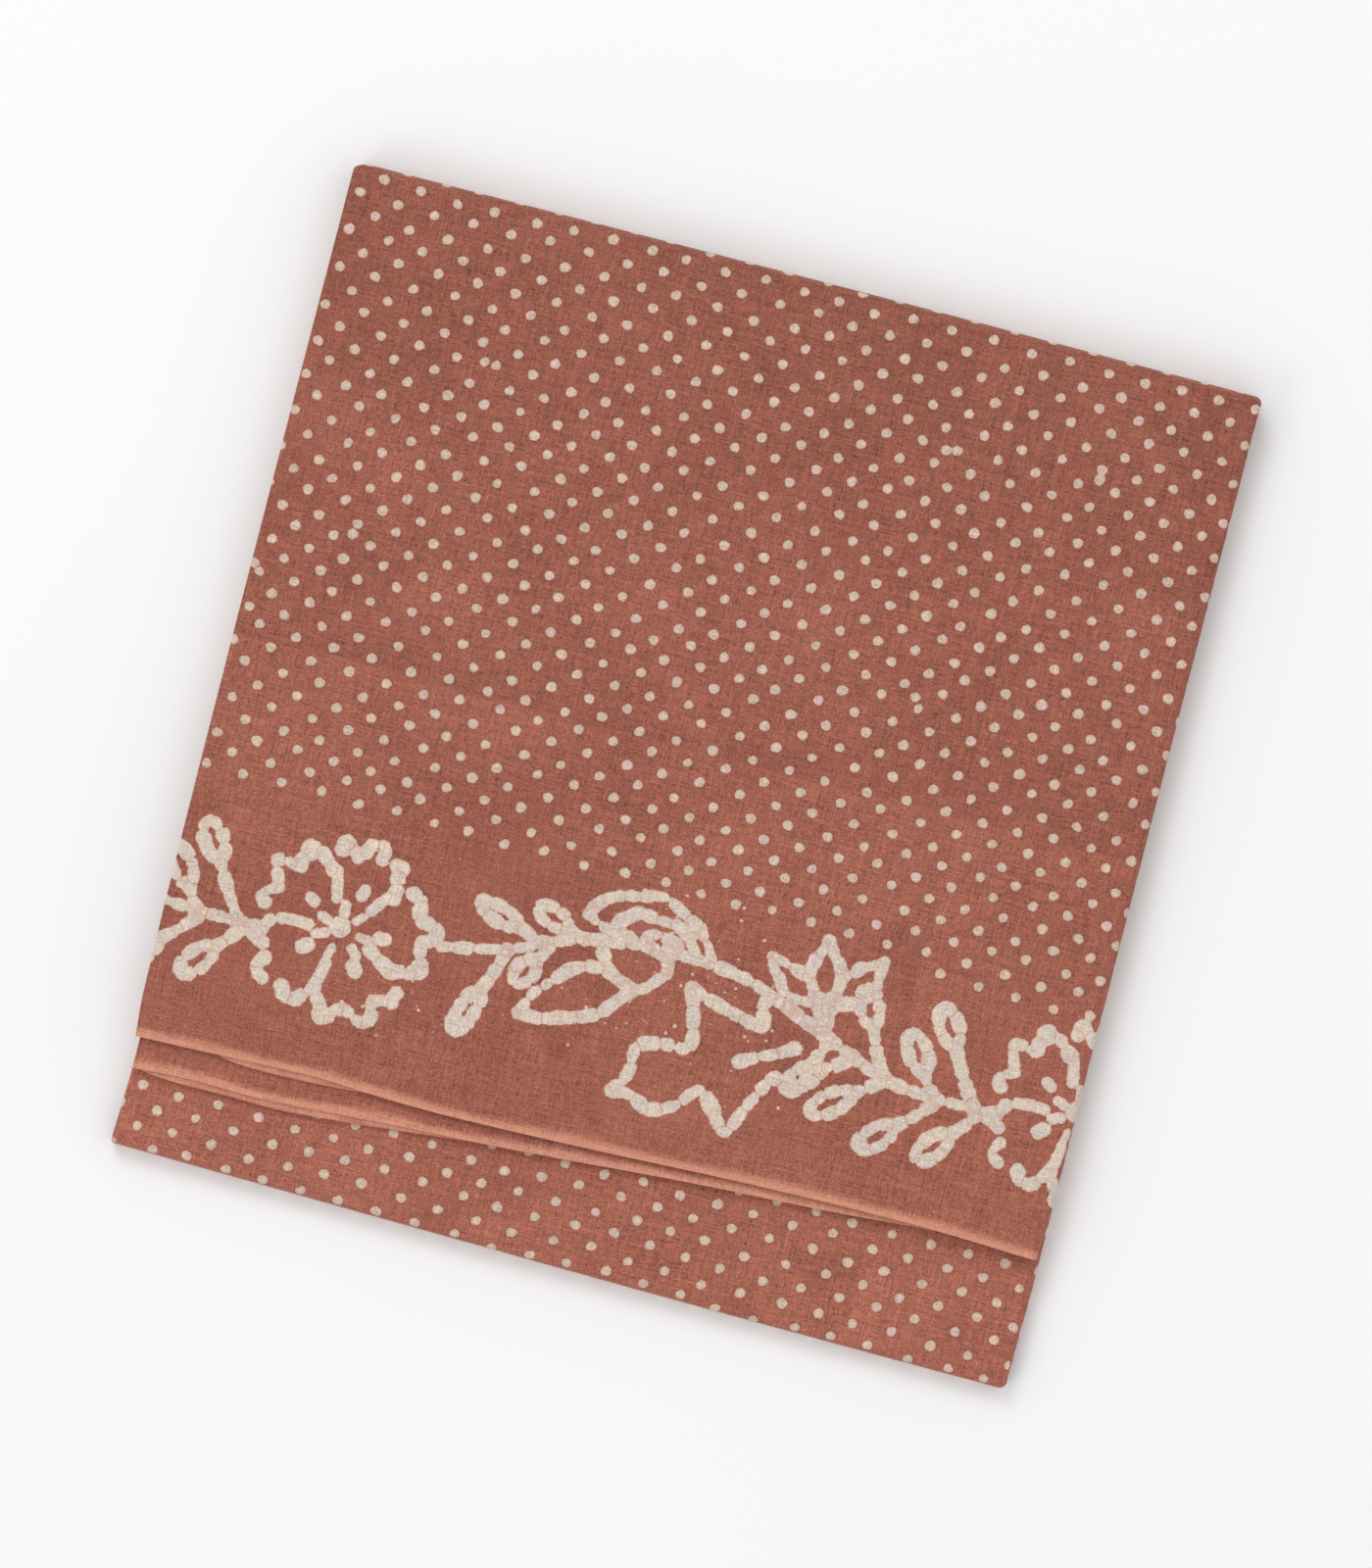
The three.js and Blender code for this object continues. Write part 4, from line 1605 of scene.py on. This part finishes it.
@dataclass(frozen=True)
class CottonFinish:
    """Dyed cotton with the wax pattern left pale in it."""

    name: str
    ground: Colour = (160, 97, 80)
    deep: Colour = (147, 87, 71)
    ring: Colour = (132, 80, 66)  # round each dot
    wax: Colour = (208, 193, 182)
    wax_warm: Colour = (216, 199, 181)
    dot: Colour = (205, 182, 163)
    dot_rose: Colour = (204, 180, 168)
    seam: Colour = (196, 145, 127)
    selvedge: Colour = (208, 143, 119)
    selvedge_deep: Colour = (190, 122, 101)
    roughness: float = 0.9
    sheen: float = 0.12
    bump: float = 0.55

    def weave(self, shader: Shader) -> Socket:
        """Makes uneven yarns both ways.

        Args:
            shader: Where the nodes go.

        Returns:
            A light and dark value round zero.
        """
        yarns = shader.add(shader.noise(1.7, 0.36), shader.noise(0.36, 1.7))
        slubs = shader.add(shader.noise(11.0, 0.6, detail=1.0), shader.noise(0.6, 11.0, detail=1.0))
        grain = shader.times(shader.noise(0.5, 0.5), 1.5)
        return shader.add(shader.add(yarns, shader.times(slubs, 0.7)), grain)

    def ground_cloth(self, shader: Shader, weave: Socket) -> Socket:
        """Makes the dyed ground with its mottling.

        Args:
            shader: Where the nodes go.
            weave: The yarns' light and dark.

        Returns:
            Its colour.
        """
        cloud = shader.add(shader.noise(26, 22, 26, 3.0), shader.noise(70, 60, 70, 2.0))
        colour = shader.blend(shader.ramp(cloud, -0.45, 0.45), dye(*self.deep), dye(*self.ground))
        return shader.lit(colour, weave, 1.0, 1.03)

    def waxed(self, shader: Shader, weave: Socket, inside: Socket, ragged: Socket) -> Socket:
        """Makes what the wax left pale.

        Args:
            shader: Where the nodes go.
            weave: The yarns' light and dark.
            inside: How deep inside the wax a place is.
            ragged: How uneven its edges are.

        Returns:
            Its colour, with stains along the seams and round the rim.
        """
        warm = shader.ramp(shader.noise(9, 9), -0.2, 0.25)
        pale = shader.blend(warm, dye(*self.wax), dye(*self.wax_warm))
        rosy = shader.ramp(shader.read("tint"), 0.5, 0.95)
        dots = shader.blend(rosy, dye(*self.dot), dye(*self.dot_rose))
        pale = shader.blend(shader.read("dot"), pale, dots)
        turned = shader.math("PINGPONG", shader.times(shader.read("tint"), 3.0), 1.0)
        pale = shader.lit(shader.lit(pale, turned, 0.1, 0.95), weave, 0.62)
        off_seam = shader.math("ABSOLUTE", shader.add(shader.read("seam"), shader.times(ragged, 0.5)))
        line = shader.times(shader.ramp(off_seam, 0.1, 0.42, 1.0, 0.0), shader.read("mark"))
        rim = shader.ramp(inside, 0.1, 0.8, 0.4, 0.0)
        return shader.blend(shader.math("MAXIMUM", shader.times(line, 0.9), rim), pale, dye(*self.seam))

    def finish(self, shader: Shader, colour: Socket, height: Socket) -> bpy.types.Material:
        """Gives the cloth its surface.

        Args:
            shader: Where the nodes go.
            colour: Its colour.
            height: How high its yarns stand, round zero.

        Returns:
            The material.
        """
        inputs = {"Strength": self.bump, "Distance": 0.1 * MM, "Height": height}
        rough = {"Roughness": self.roughness, "Specular_IOR_Level": 0.2}
        sheen = {"Sheen_Weight": self.sheen, "Sheen_Roughness": 0.5}
        bump = shader.node("ShaderNodeBump", inputs)
        return shader.finish(Base_Color=colour, Normal=bump, **rough, **sheen)

    def build(self) -> bpy.types.Material:
        """Makes the material.

        Returns:
            Dyed cloth with its dots, its strokes and its selvedge.
        """
        shader = Shader(self.name)
        weave = self.weave(shader)
        ragged = shader.times(shader.noise(0.9, 0.9), 0.55)
        inside = shader.add(shader.read("wax"), ragged)
        # tone lightens and darkens the ground: random mottling, darker towards +Y, and the creases' painted
        # light and shade
        colour = shader.lit(self.ground_cloth(shader, weave), shader.read("tone"), 0.07)
        halo = shader.times(shader.ramp(inside, -0.9, -0.1), shader.read("dot"))
        colour = shader.blend(shader.times(halo, 0.35), colour, dye(*self.ring))
        wax = self.waxed(shader, weave, inside, ragged)
        colour = shader.blend(shader.ramp(inside, -0.16, 0.2), colour, wax)
        edge = shader.add(shader.read("band"), shader.times(weave, 0.12))
        firm = shader.lit(dye(*self.selvedge), weave, 0.5)
        colour = shader.blend(shader.ramp(edge, 0.02, 0.85), colour, firm)
        height = shader.add(weave, shader.times(shader.noise(6, 6), 0.8))
        return self.finish(shader, colour, height)


@dataclass(frozen=True)
class LayeredFinish(CottonFinish):
    """The edges of many dyed layers, each a little lighter or darker than the next."""

    def build(self) -> bpy.types.Material:
        """Makes the material.

        Returns:
            Cloth in layers, with the ends of some dots.
        """
        shader = Shader(self.name)
        weave = self.weave(shader)
        layer = shader.ramp(shader.noise(160, 160, 0.7, 1.0), -0.3, 0.3, 0.82, 1.2)
        colour = shader.blend(1.0, self.ground_cloth(shader, weave), layer, "MULTIPLY")
        spots = shader.ramp(shader.noise(4.2, 4.2, 0.9, 0.0), 0.2, 0.26)
        colour = shader.blend(shader.times(spots, 0.75), colour, dye(*self.dot))
        return self.finish(shader, colour, weave)


@dataclass(frozen=True)
class SelvedgeFinish(CottonFinish):
    """The undyed-looking firm edge of the cloth."""

    def build(self) -> bpy.types.Material:
        """Makes the material.

        Returns:
            Firm pale cloth.
        """
        shader = Shader(self.name)
        weave = self.weave(shader)
        cloud = shader.ramp(shader.noise(8, 8, 1.2, 2.0), -0.3, 0.3)
        colour = shader.blend(cloud, dye(*self.selvedge_deep), dye(*self.selvedge))
        return self.finish(shader, shader.lit(colour, weave, 0.6), weave)


@dataclass(frozen=True)
class TableFinish:
    """A plain pale table top with faint clouds."""

    name: str = "pale table"
    low: float = 0.92
    high: float = 0.935
    roughness: float = 0.8

    def build(self) -> bpy.types.Material:
        """Makes the material.

        Returns:
            The table's surface.
        """
        shader = Shader(self.name)
        cloud = shader.ramp(shader.noise(300, 300, 300, 2.0), -0.4, 0.4)
        colour = shader.blend(cloud, (self.low,) * 3 + (1,), (self.high,) * 3 + (1,))
        return shader.finish(Base_Color=colour, Roughness=self.roughness)


class RepeatTree(Nodes):
    """A Geometry Nodes tree with named inputs, that ends in real geometry and one material."""

    def __init__(self, name: str, inputs: dict[str, tuple[str, object]]) -> None:
        """Starts a tree.

        Args:
            name: Its name.
            inputs: The type and first value of each input, by name.
        """
        super().__init__(bpy.data.node_groups.new(name, "GeometryNodeTree"))
        face = self.tree.interface
        face.new_socket("Geometry", in_out="INPUT", socket_type="NodeSocketGeometry")
        for label, (kind, value) in inputs.items():
            face.new_socket(label, in_out="INPUT", socket_type=f"NodeSocket{kind}").default_value = value
        face.new_socket("Material", in_out="INPUT", socket_type="NodeSocketMaterial")
        face.new_socket("Geometry", in_out="OUTPUT", socket_type="NodeSocketGeometry")
        self.start = self.node("NodeGroupInput").outputs

    def close(self, geometry: bpy.types.Node) -> None:
        """Ends the tree in Realize Instances and Set Material.

        Args:
            geometry: The node whose geometry it ends in.
        """
        real = self.node("GeometryNodeRealizeInstances", {0: geometry})
        inputs = {"Geometry": real, "Material": self.start["Material"]}
        self.node("NodeGroupOutput", {0: self.node("GeometryNodeSetMaterial", inputs)})

    def apply(self, source: bpy.types.Object, values: dict[str, object]) -> bpy.types.Object:
        """Runs the tree on an object and keeps the result as a plain mesh.

        Args:
            source: The object whose mesh goes in. It is removed.
            values: The inputs' values by name.

        Returns:
            A new object with the finished mesh.
        """
        modifier = source.modifiers.new("made", "NODES")
        modifier.node_group = self.tree
        for item in self.tree.interface.items_tree:
            if item.in_out == "INPUT" and item.name in values:
                modifier[item.identifier] = values[item.name]
        bpy.context.view_layer.update()
        graph = bpy.context.evaluated_depsgraph_get()
        mesh = bpy.data.meshes.new_from_object(source.evaluated_get(graph))
        mesh.name = name = source.name
        source.modifiers.clear()
        bpy.data.objects.remove(source)
        return put_in_scene(name, mesh)


def layer_tree() -> RepeatTree:
    """Makes the tree that lays one folded leaf on the next, each a little out of line.

    Returns:
        The tree.
    """
    lengths = {"Step": ("Float", 0.6 * MM), "Stagger": ("Float", 0.4 * MM), "Askew": ("Float", 0.002)}
    tree = RepeatTree("stacked layers", {"Layers": ("Int", 8), **lengths, "Seed": ("Int", 1)})
    start = tree.start
    rise = tree.node("ShaderNodeCombineXYZ", {2: start["Step"]})
    line = tree.node("GeometryNodeMeshLine", {"Count": start["Layers"], "Offset": rise})
    place = tree.node("GeometryNodeInstanceOnPoints", {"Points": line, "Instance": start["Geometry"]})
    ends = {"Min": (-1, -1, -0.12), "Max": (1, 0.6, 0.12), "Seed": start["Seed"]}
    shift = tree.node("FunctionNodeRandomValue", ends, data_type="FLOAT_VECTOR")
    size = tree.node("ShaderNodeVectorMath", {0: shift, "Scale": start["Stagger"]}, operation="SCALE")
    move = tree.node("GeometryNodeTranslateInstances", {0: place, "Translation": size})
    ends = {2: -1.0, 3: 1.0, "Seed": start["Seed"]}
    angle = tree.node("FunctionNodeRandomValue", ends, data_type="FLOAT").outputs[1]
    skew = tree.node("ShaderNodeMath", {0: angle, 1: start["Askew"]}, operation="MULTIPLY")
    turn = tree.node("ShaderNodeCombineXYZ", {2: skew})
    tree.close(tree.node("GeometryNodeRotateInstances", {0: move, "Rotation": turn}))
    return tree


def loop_tree() -> RepeatTree:
    """Makes the tree that sets a small yarn loop at each turn of the weft along a selvedge.

    Returns:
        The tree.
    """
    lengths = {"Spacing": ("Float", 1.1 * MM), "Radius": ("Float", 0.3 * MM)}
    tree = RepeatTree("selvedge loops", {**lengths, "Seed": ("Int", 1)})
    start = tree.start
    curve = tree.node("GeometryNodeMeshToCurve", {0: start["Geometry"]})
    turns = {0: curve, "Length": start["Spacing"]}
    points = tree.node("GeometryNodeCurveToPoints", turns, mode="LENGTH")
    bead = tree.node("GeometryNodeMeshUVSphere", {"Segments": 6, "Rings": 4, "Radius": start["Radius"]})
    ends = {"Min": (0.8, 0.5, 0.5), "Max": (1.7, 1.2, 0.8), "Seed": start["Seed"]}
    uneven = tree.node("FunctionNodeRandomValue", ends, data_type="FLOAT_VECTOR")
    beads = {"Points": points, "Instance": bead, "Scale": uneven}
    tree.close(tree.node("GeometryNodeInstanceOnPoints", beads))
    return tree


# ---- what shows between the sheets ----
@dataclass
class LeafStack:
    """Hidden layers of the stack, as folded leaves laid on each other with round edges."""

    name: str
    front: PlanLine
    back: PlanLine
    base: float
    layers: int
    step: float
    stagger: float
    seed: int
    askew: float = 0.0012
    nose: float = 0.86  # how much of the step one leaf fills
    levels: tuple[float, ...] = (0.0, 0.12, 0.35, 0.65, 0.88, 1.0)  # of the rings up its rounded edge
    setback: float = 0.6  # of its left edge, behind the stack's
    front_ends: Place = (-173.5, 173.0)
    back_end: float = -174.5

    def plan(self) -> Array:
        """Draws the leaf's outline.

        Returns:
            Rows of X and Y, anticlockwise from the front left.
        """
        right = STACK_RIGHT.at(0.0) - ROLL_DEPTH - 0.4
        front_x, back_x = np.linspace(*self.front_ends, 90), np.linspace(right - 2, self.back_end, 40)
        front, back = pairs(front_x, self.front(front_x)), pairs(back_x, self.back(back_x))
        share = np.linspace(0.01, 0.99, 60)
        rise = mix(front[-1, 1], back[0, 1], share)
        fall = mix(back[-1, 1], front[0, 1], share)
        left = STACK_LEFT.at(fall) + self.setback + Swell(0.16, 40, self.seed).along(fall)
        return np.concatenate([front, pairs(np.full(len(rise), right), rise), back, pairs(left, fall)])

    def leaf(self) -> bpy.types.Object:
        """Makes one leaf with rounded edges.

        Returns:
            Its object, at the bottom of the stack.
        """
        plan = self.plan()
        way = np.roll(plan, -1, axis=0) - np.roll(plan, 1, axis=0)
        inward = left_of(way.T).T / np.linalg.norm(way, axis=1)[:, None]
        height = self.step * self.nose
        floor = self.base + Swell(0.05, 26, self.seed + 3).at(*plan.T)
        rings = []
        for level in self.levels:
            inset = height * 0.5 * (1 - math.sqrt(max(1 - (2 * level - 1) ** 2, 0)))
            rings.append(np.column_stack([plan + inward * inset, floor + height * level]))
        count, top = len(plan), len(plan) * (len(rings) - 1)
        low = np.arange(top).reshape(-1, count)
        after = np.roll(low, -1, axis=1)
        sides = np.stack([low, after, after + count, low + count], axis=2).reshape(-1, 4)
        faces = [*sides, range(count)[::-1], range(top, top + count)]
        return put_in_scene(self.name, new_mesh(self.name, np.concatenate(rings) * MM, faces, 60.0))

    def build(self, tree: RepeatTree, material: bpy.types.Material) -> bpy.types.Object:
        """Stacks the leaf.

        Args:
            tree: The tree that lays one leaf on the next.
            material: The layers' finish.

        Returns:
            The finished stack.
        """
        lengths = {"Step": self.step * MM, "Stagger": self.stagger * MM, "Askew": self.askew}
        values = {"Layers": self.layers, **lengths, "Seed": self.seed, "Material": material}
        return tree.apply(self.leaf(), values)


@dataclass(frozen=True)
class ClosedGrid:
    """A thin strip between an outer and an inner grid of places, closed round its rim."""

    outer: Array
    inner: Array
    flipped: bool

    def vertices(self) -> Array:
        """The outer places, then the inner ones."""
        return np.concatenate([self.outer.reshape(-1, 3), self.inner.reshape(-1, 3)])

    def faces(self, start: int) -> list[Array]:
        """Lists the strip's faces.

        Args:
            start: The number of its first vertex.

        Returns:
            Rows of vertex numbers.
        """
        numbers = start + np.arange(self.outer[..., 0].size).reshape(self.outer.shape[:2])
        below = numbers.size
        a, b, c, d = numbers[:-1, :-1], numbers[1:, :-1], numbers[1:, 1:], numbers[:-1, 1:]
        outer = np.stack([a, b, c, d], axis=2).reshape(-1, 4)
        inner = below + np.stack([a, d, c, b], axis=2).reshape(-1, 4)
        rim = np.concatenate([numbers[0], numbers[1:, -1], numbers[-1, -2::-1], numbers[-2:0:-1, 0]])
        ahead = np.roll(rim, -1)
        made = np.concatenate([outer, inner, np.column_stack([rim, ahead, below + ahead, below + rim])])
        return list(made[:, ::-1] if self.flipped else made)


@dataclass
class FoldLayers:
    """The inner layers of a cross fold near one of its ends, each an arc inside the next."""

    name: str
    fold: CrossFold
    edge: Line
    side: int  # below zero for the left end
    corner: Corner
    count: int
    seed: int
    first: float = 0.78  # how deep the first lies below the outer cloth
    step: float = 0.72
    thickness: float = 0.4
    width: float = 13.0

    def arcs(self, depth: float, setback: float) -> Array:
        """Lays out the places of one arc.

        Args:
            depth: How deep it lies below the outer cloth.
            setback: How far its end stands behind the outer cloth's.

        Returns:
            X, Y and Z of each place, in rows from its end inwards.
        """
        turns = np.linspace(0.04, math.pi - 0.04, 25)
        end = float(self.edge.at(self.fold.line.at(0.0)))
        line, half = self.fold.line.at(end), self.fold.height / 2
        y = self.fold.bend(end) + self.fold.side * (self.fold.depth - depth) * self.fold.out(turns)
        z = half + (half - depth) * self.fold.rise(turns)
        back = self.corner.inset(self.fold.side * (line - y)) + setback
        runs = (0.0, 0.4, 2.0, 5.0, self.width)
        return np.array([np.column_stack([end - self.side * (back + run), y, z]) for run in runs])

    def build(self, material: bpy.types.Material) -> bpy.types.Object:
        """Makes the arcs.

        Args:
            material: Their finish.

        Returns:
            One object with a closed thin strip for each.
        """
        rng = np.random.default_rng(self.seed)
        vertices, faces = [], []
        for k in range(self.count):
            depth, setback = self.first + k * self.step, rng.uniform(0.5, 1.5)
            outer, inner = self.arcs(depth, setback), self.arcs(depth + self.thickness, setback)
            strip = ClosedGrid(outer, inner, self.side * self.fold.side > 0)
            faces += strip.faces(sum(map(len, vertices)))
            vertices.append(strip.vertices())
        mesh = new_mesh(self.name, np.concatenate(vertices) * MM, faces)
        mesh.materials.append(material)
        return put_in_scene(self.name, mesh)


@dataclass
class SelvedgeEdge:
    """The row of weft loops along one lip."""

    name: str
    stretch: Stretch
    lip: PlanLine
    seed: int
    left: float = -176.5
    right: float = 174.0
    behind: float = 0.12  # how far behind the lip their middles lie
    spacing: float = 1.05
    radius: float = 0.26

    def build(self, tree: RepeatTree, material: bpy.types.Material) -> bpy.types.Object:
        """Sets the loops along the lip.

        Args:
            tree: The tree that sets one loop at each turn.
            material: Their finish.

        Returns:
            The finished row.
        """
        s = np.arange(self.left, self.right, 1.0)
        path = self.stretch.place(pairs(s, self.lip(s) + self.behind), CLOTH / 2) * MM
        mesh = bpy.data.meshes.new(self.name)
        mesh.from_pydata(path.tolist(), [(k, k + 1) for k in range(len(s) - 1)], [])
        lengths = {"Spacing": self.spacing * MM, "Radius": self.radius * MM}
        values = {**lengths, "Seed": self.seed, "Material": material}
        return tree.apply(put_in_scene(self.name, mesh), values)


# ---- the studio ----
@dataclass(frozen=True)
class Studio:
    """A plain pale table, soft light from above the top left, and the camera straight above."""

    turn: float = 14.33  # how far the saree lies turned on the table, in degrees
    aim: Place = (2.4, -2.6)
    height: float = 4.0
    frame_height: float = 0.599
    sensor: float = 36.0
    table_size: float = 6.0
    table_gap: float = 0.0001
    sky: float = 0.78
    lamp: float = 50.0
    fill: float = 24.0
    lamp_size: float = 2.2

    def table(self) -> bpy.types.Object:
        """Makes the table top just under the cloth.

        Returns:
            Its object.
        """
        half = self.table_size / 2
        corners = [(x * half, y * half, -self.table_gap) for x, y in ((-1, -1), (1, -1), (1, 1), (-1, 1))]
        mesh = bpy.data.meshes.new("table_top")
        mesh.from_pydata(corners, [], [(0, 1, 2, 3)])
        mesh.materials.append(TableFinish().build())
        return put_in_scene("table_top", mesh)

    def camera(self) -> None:
        """The camera, straight above and turned so that the saree lies askew in the picture."""
        data = bpy.data.cameras.new("camera")
        data.sensor_width = self.sensor
        data.lens = self.sensor * (self.height - FULL_HEIGHT * MM) / self.frame_height
        made = put_in_scene("camera", data)
        made.location = (self.aim[0] * MM, self.aim[1] * MM, self.height)
        made.rotation_euler = (0.0, 0.0, math.radians(self.turn))
        bpy.context.scene.camera = made

    def lights(self) -> None:
        """A pale sky all round, a large lamp from the back left and a weaker one from the front left."""
        world = bpy.data.worlds.new("studio")
        world.use_nodes = True
        background = world.node_tree.nodes["Background"]
        background.inputs["Color"].default_value = (1, 1, 1, 1)
        background.inputs["Strength"].default_value = self.sky
        bpy.context.scene.world = world
        lamps = (("large lamp", (-1.5, 2.6, 3.4), self.lamp), ("fill lamp", (-2.2, -2.8, 2.6), self.fill))
        for name, place, energy in lamps:
            data = bpy.data.lights.new(name, "AREA")
            data.shape, data.size, data.energy = "DISK", self.lamp_size, energy
            made = put_in_scene(name, data)
            made.location = place
            made.rotation_euler = (-made.location).to_track_quat("-Z", "Y").to_euler()

    def build(self) -> None:
        """Sets up the whole studio."""
        bpy.context.scene.view_settings.view_transform = "Standard"
        self.camera()
        self.lights()
        self.table()


# ---- the saree ----
@dataclass
class FoldedSaree:
    """The saree in its folds: the border third, the front third and the cloth on the table."""

    cloth: bpy.types.Material = field(default_factory=lambda: CottonFinish("dyed cotton").build())
    layers: bpy.types.Material = field(default_factory=lambda: LayeredFinish("layered cotton").build())
    selvedge: bpy.types.Material = field(default_factory=lambda: SelvedgeFinish("selvedge").build())
    width: float = 0.357
    border_length: float = 0.345
    round_back: float = 0.025  # cloth of the border third round the back fold and under
    front_length: float = 0.39
    table_length: float = 0.37
    layer_length: float = 0.34

    def dress(self, piece: bpy.types.Object, node: str) -> None:
        """Puts a piece in its node's place.

        Args:
            piece: The piece.
            node: The node that it replaces.
        """
        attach(piece, "root")
        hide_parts(node)
        LOG.info("%s: %d faces, for %s", piece.name, len(piece.data.polygons), node)

    def trim(self, piece: bpy.types.Object) -> bpy.types.Object:
        """Puts a piece that replaces no node in its place.

        Args:
            piece: The piece.

        Returns:
            The piece.
        """
        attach(piece, "root")
        LOG.info("%s: %d faces", piece.name, len(piece.data.polygons))
        return piece

    def sheet(self, name: str, stretch: Stretch, pattern: FabricPrint, node: str) -> bpy.types.Object:
        """Makes one sheet of patterned cloth in its node's place.

        Args:
            name: Its name.
            stretch: How it lies.
            pattern: What is on it.
            node: The node that it replaces.

        Returns:
            The sheet.
        """
        made = ClothSheet(name, stretch, pattern).build()
        made.data.materials.append(self.cloth)
        self.dress(made, node)
        return made

    def peeping(self, name: str, lip: Line, node: str, *sizes: float) -> bpy.types.Object:
        """Makes thin layers that peep out under a flap.

        Args:
            name: Their name.
            lip: Where their edges lie.
            node: The node that they replace.
            sizes: The lowest one's height, their number, the step between them, the stagger and the seed.

        Returns:
            The layers in one object.
        """
        stack = LeafStack(name, lambda x: lip.at(x) + 0.1, hidden_end, *sizes)
        made = stack.build(layer_tree(), self.selvedge)
        self.dress(made, node)
        return made

    def build_border(self) -> None:
        """The border third: its two bunches, the layers between and the selvedge loops."""
        edge = Line(((-180, -45.5), (0, -46.8), (100, -49.5), (180, -52.5)))
        dots = DottedField((-1.2, 54.65), -18, 26, seed=12, lower_edge=edge)
        sides = (FLAP_LEFT, FLAP_RIGHT)
        flap = FoldedStretch(TOP_LIP.at, BACK_FOLD, sides, FLAP_CORNERS, RolledEdge(5.7), 0.4)
        second = FlatStretch(SECOND_LIP.at, hidden_end, (STACK_LEFT, FLAP_RIGHT), SECOND_TOP, 0.12)
        top = self.sheet("border_cloth", flap, FabricPrint(dots, VineBorder(), TOP_LIP.at), "border_flap")
        below = self.sheet("second_cloth", second, FabricPrint(lip=SECOND_LIP.at), "second_flap")
        upper = self.peeping("upper_layers", UPPER_LAYERS_LIP, "upper_edge_layers", 12.75, 3, 0.4, 0.3, 21)
        lower = self.peeping("lower_layers", LOWER_LAYERS_LIP, "lower_edge_layers", 9.75, 4, 0.45, 0.3, 22)
        rows = (
            SelvedgeEdge("border_loops", flap, TOP_LIP.at, 31),
            SelvedgeEdge("second_loops", second, SECOND_LIP.at, 32),
        )
        edges = [self.trim(row.build(loop_tree(), self.selvedge)) for row in rows]

    def build_front(self) -> None:
        """The front third with its fold."""
        dots = DottedField((2.7, -177.0), -7, 54, 7.5, lean=-0.05, slope=-0.02, bow=(0, 0), seed=15)
        ends = (STACK_LEFT, STACK_RIGHT), FRONT_CORNERS
        panel = FoldedStretch(hidden_end, FRONT_FOLD, *ends, RolledEdge(LOWER_ROLL_HEIGHT), 0.01, 6.0)
        front = self.sheet("front_cloth", panel, FabricPrint(dots, tone=1.3), "front_panel")

    def build_base(self) -> None:
        """The hidden layers and the cloth against the table."""
        dots = DottedField((2.0, -196.0), -2, 58, seed=18)
        stretch = TableStretch(RolledEdge(LOWER_ROLL_HEIGHT))
        table = self.sheet("table_cloth", stretch, FabricPrint(dots), "table_panel")
        lines = (lambda x: FRONT_FOLD.bend(x) + 1.0), (lambda x: BACK_FOLD.bend(x) - 1.0)
        hidden = LeafStack("hidden_layers", *lines, 0.55, 13, 0.655, 0.35, 23)
        self.dress(hidden.build(layer_tree(), self.layers), "folded_core")
        folds = (
            ("back_fold", BACK_FOLD, (FLAP_LEFT, FLAP_RIGHT), FLAP_CORNERS, 4, 41),
            ("front_fold", FRONT_FOLD, (STACK_LEFT, STACK_RIGHT), FRONT_CORNERS, 3, 43),
        )
        for name, fold, sides, corners, count, seed in folds:
            for k, end in enumerate(("left", "right")):
                arcs = FoldLayers(f"{name}_{end}", fold, sides[k], 2 * k - 1, corners[k], count, seed + k)
                self.trim(arcs.build(self.layers))

    def build(self) -> None:
        """Builds the saree from the table up."""
        self.build_base()
        self.build_front()
        self.build_border()


def main() -> None:
    """Builds the studio and the saree, and logs the saree pieces' face counts."""
    logging.basicConfig(level=logging.INFO, format="%(name)s %(message)s")
    Studio().build()
    FoldedSaree().build()
    bpy.context.view_layer.update()


if __name__ == "__main__":
    main()
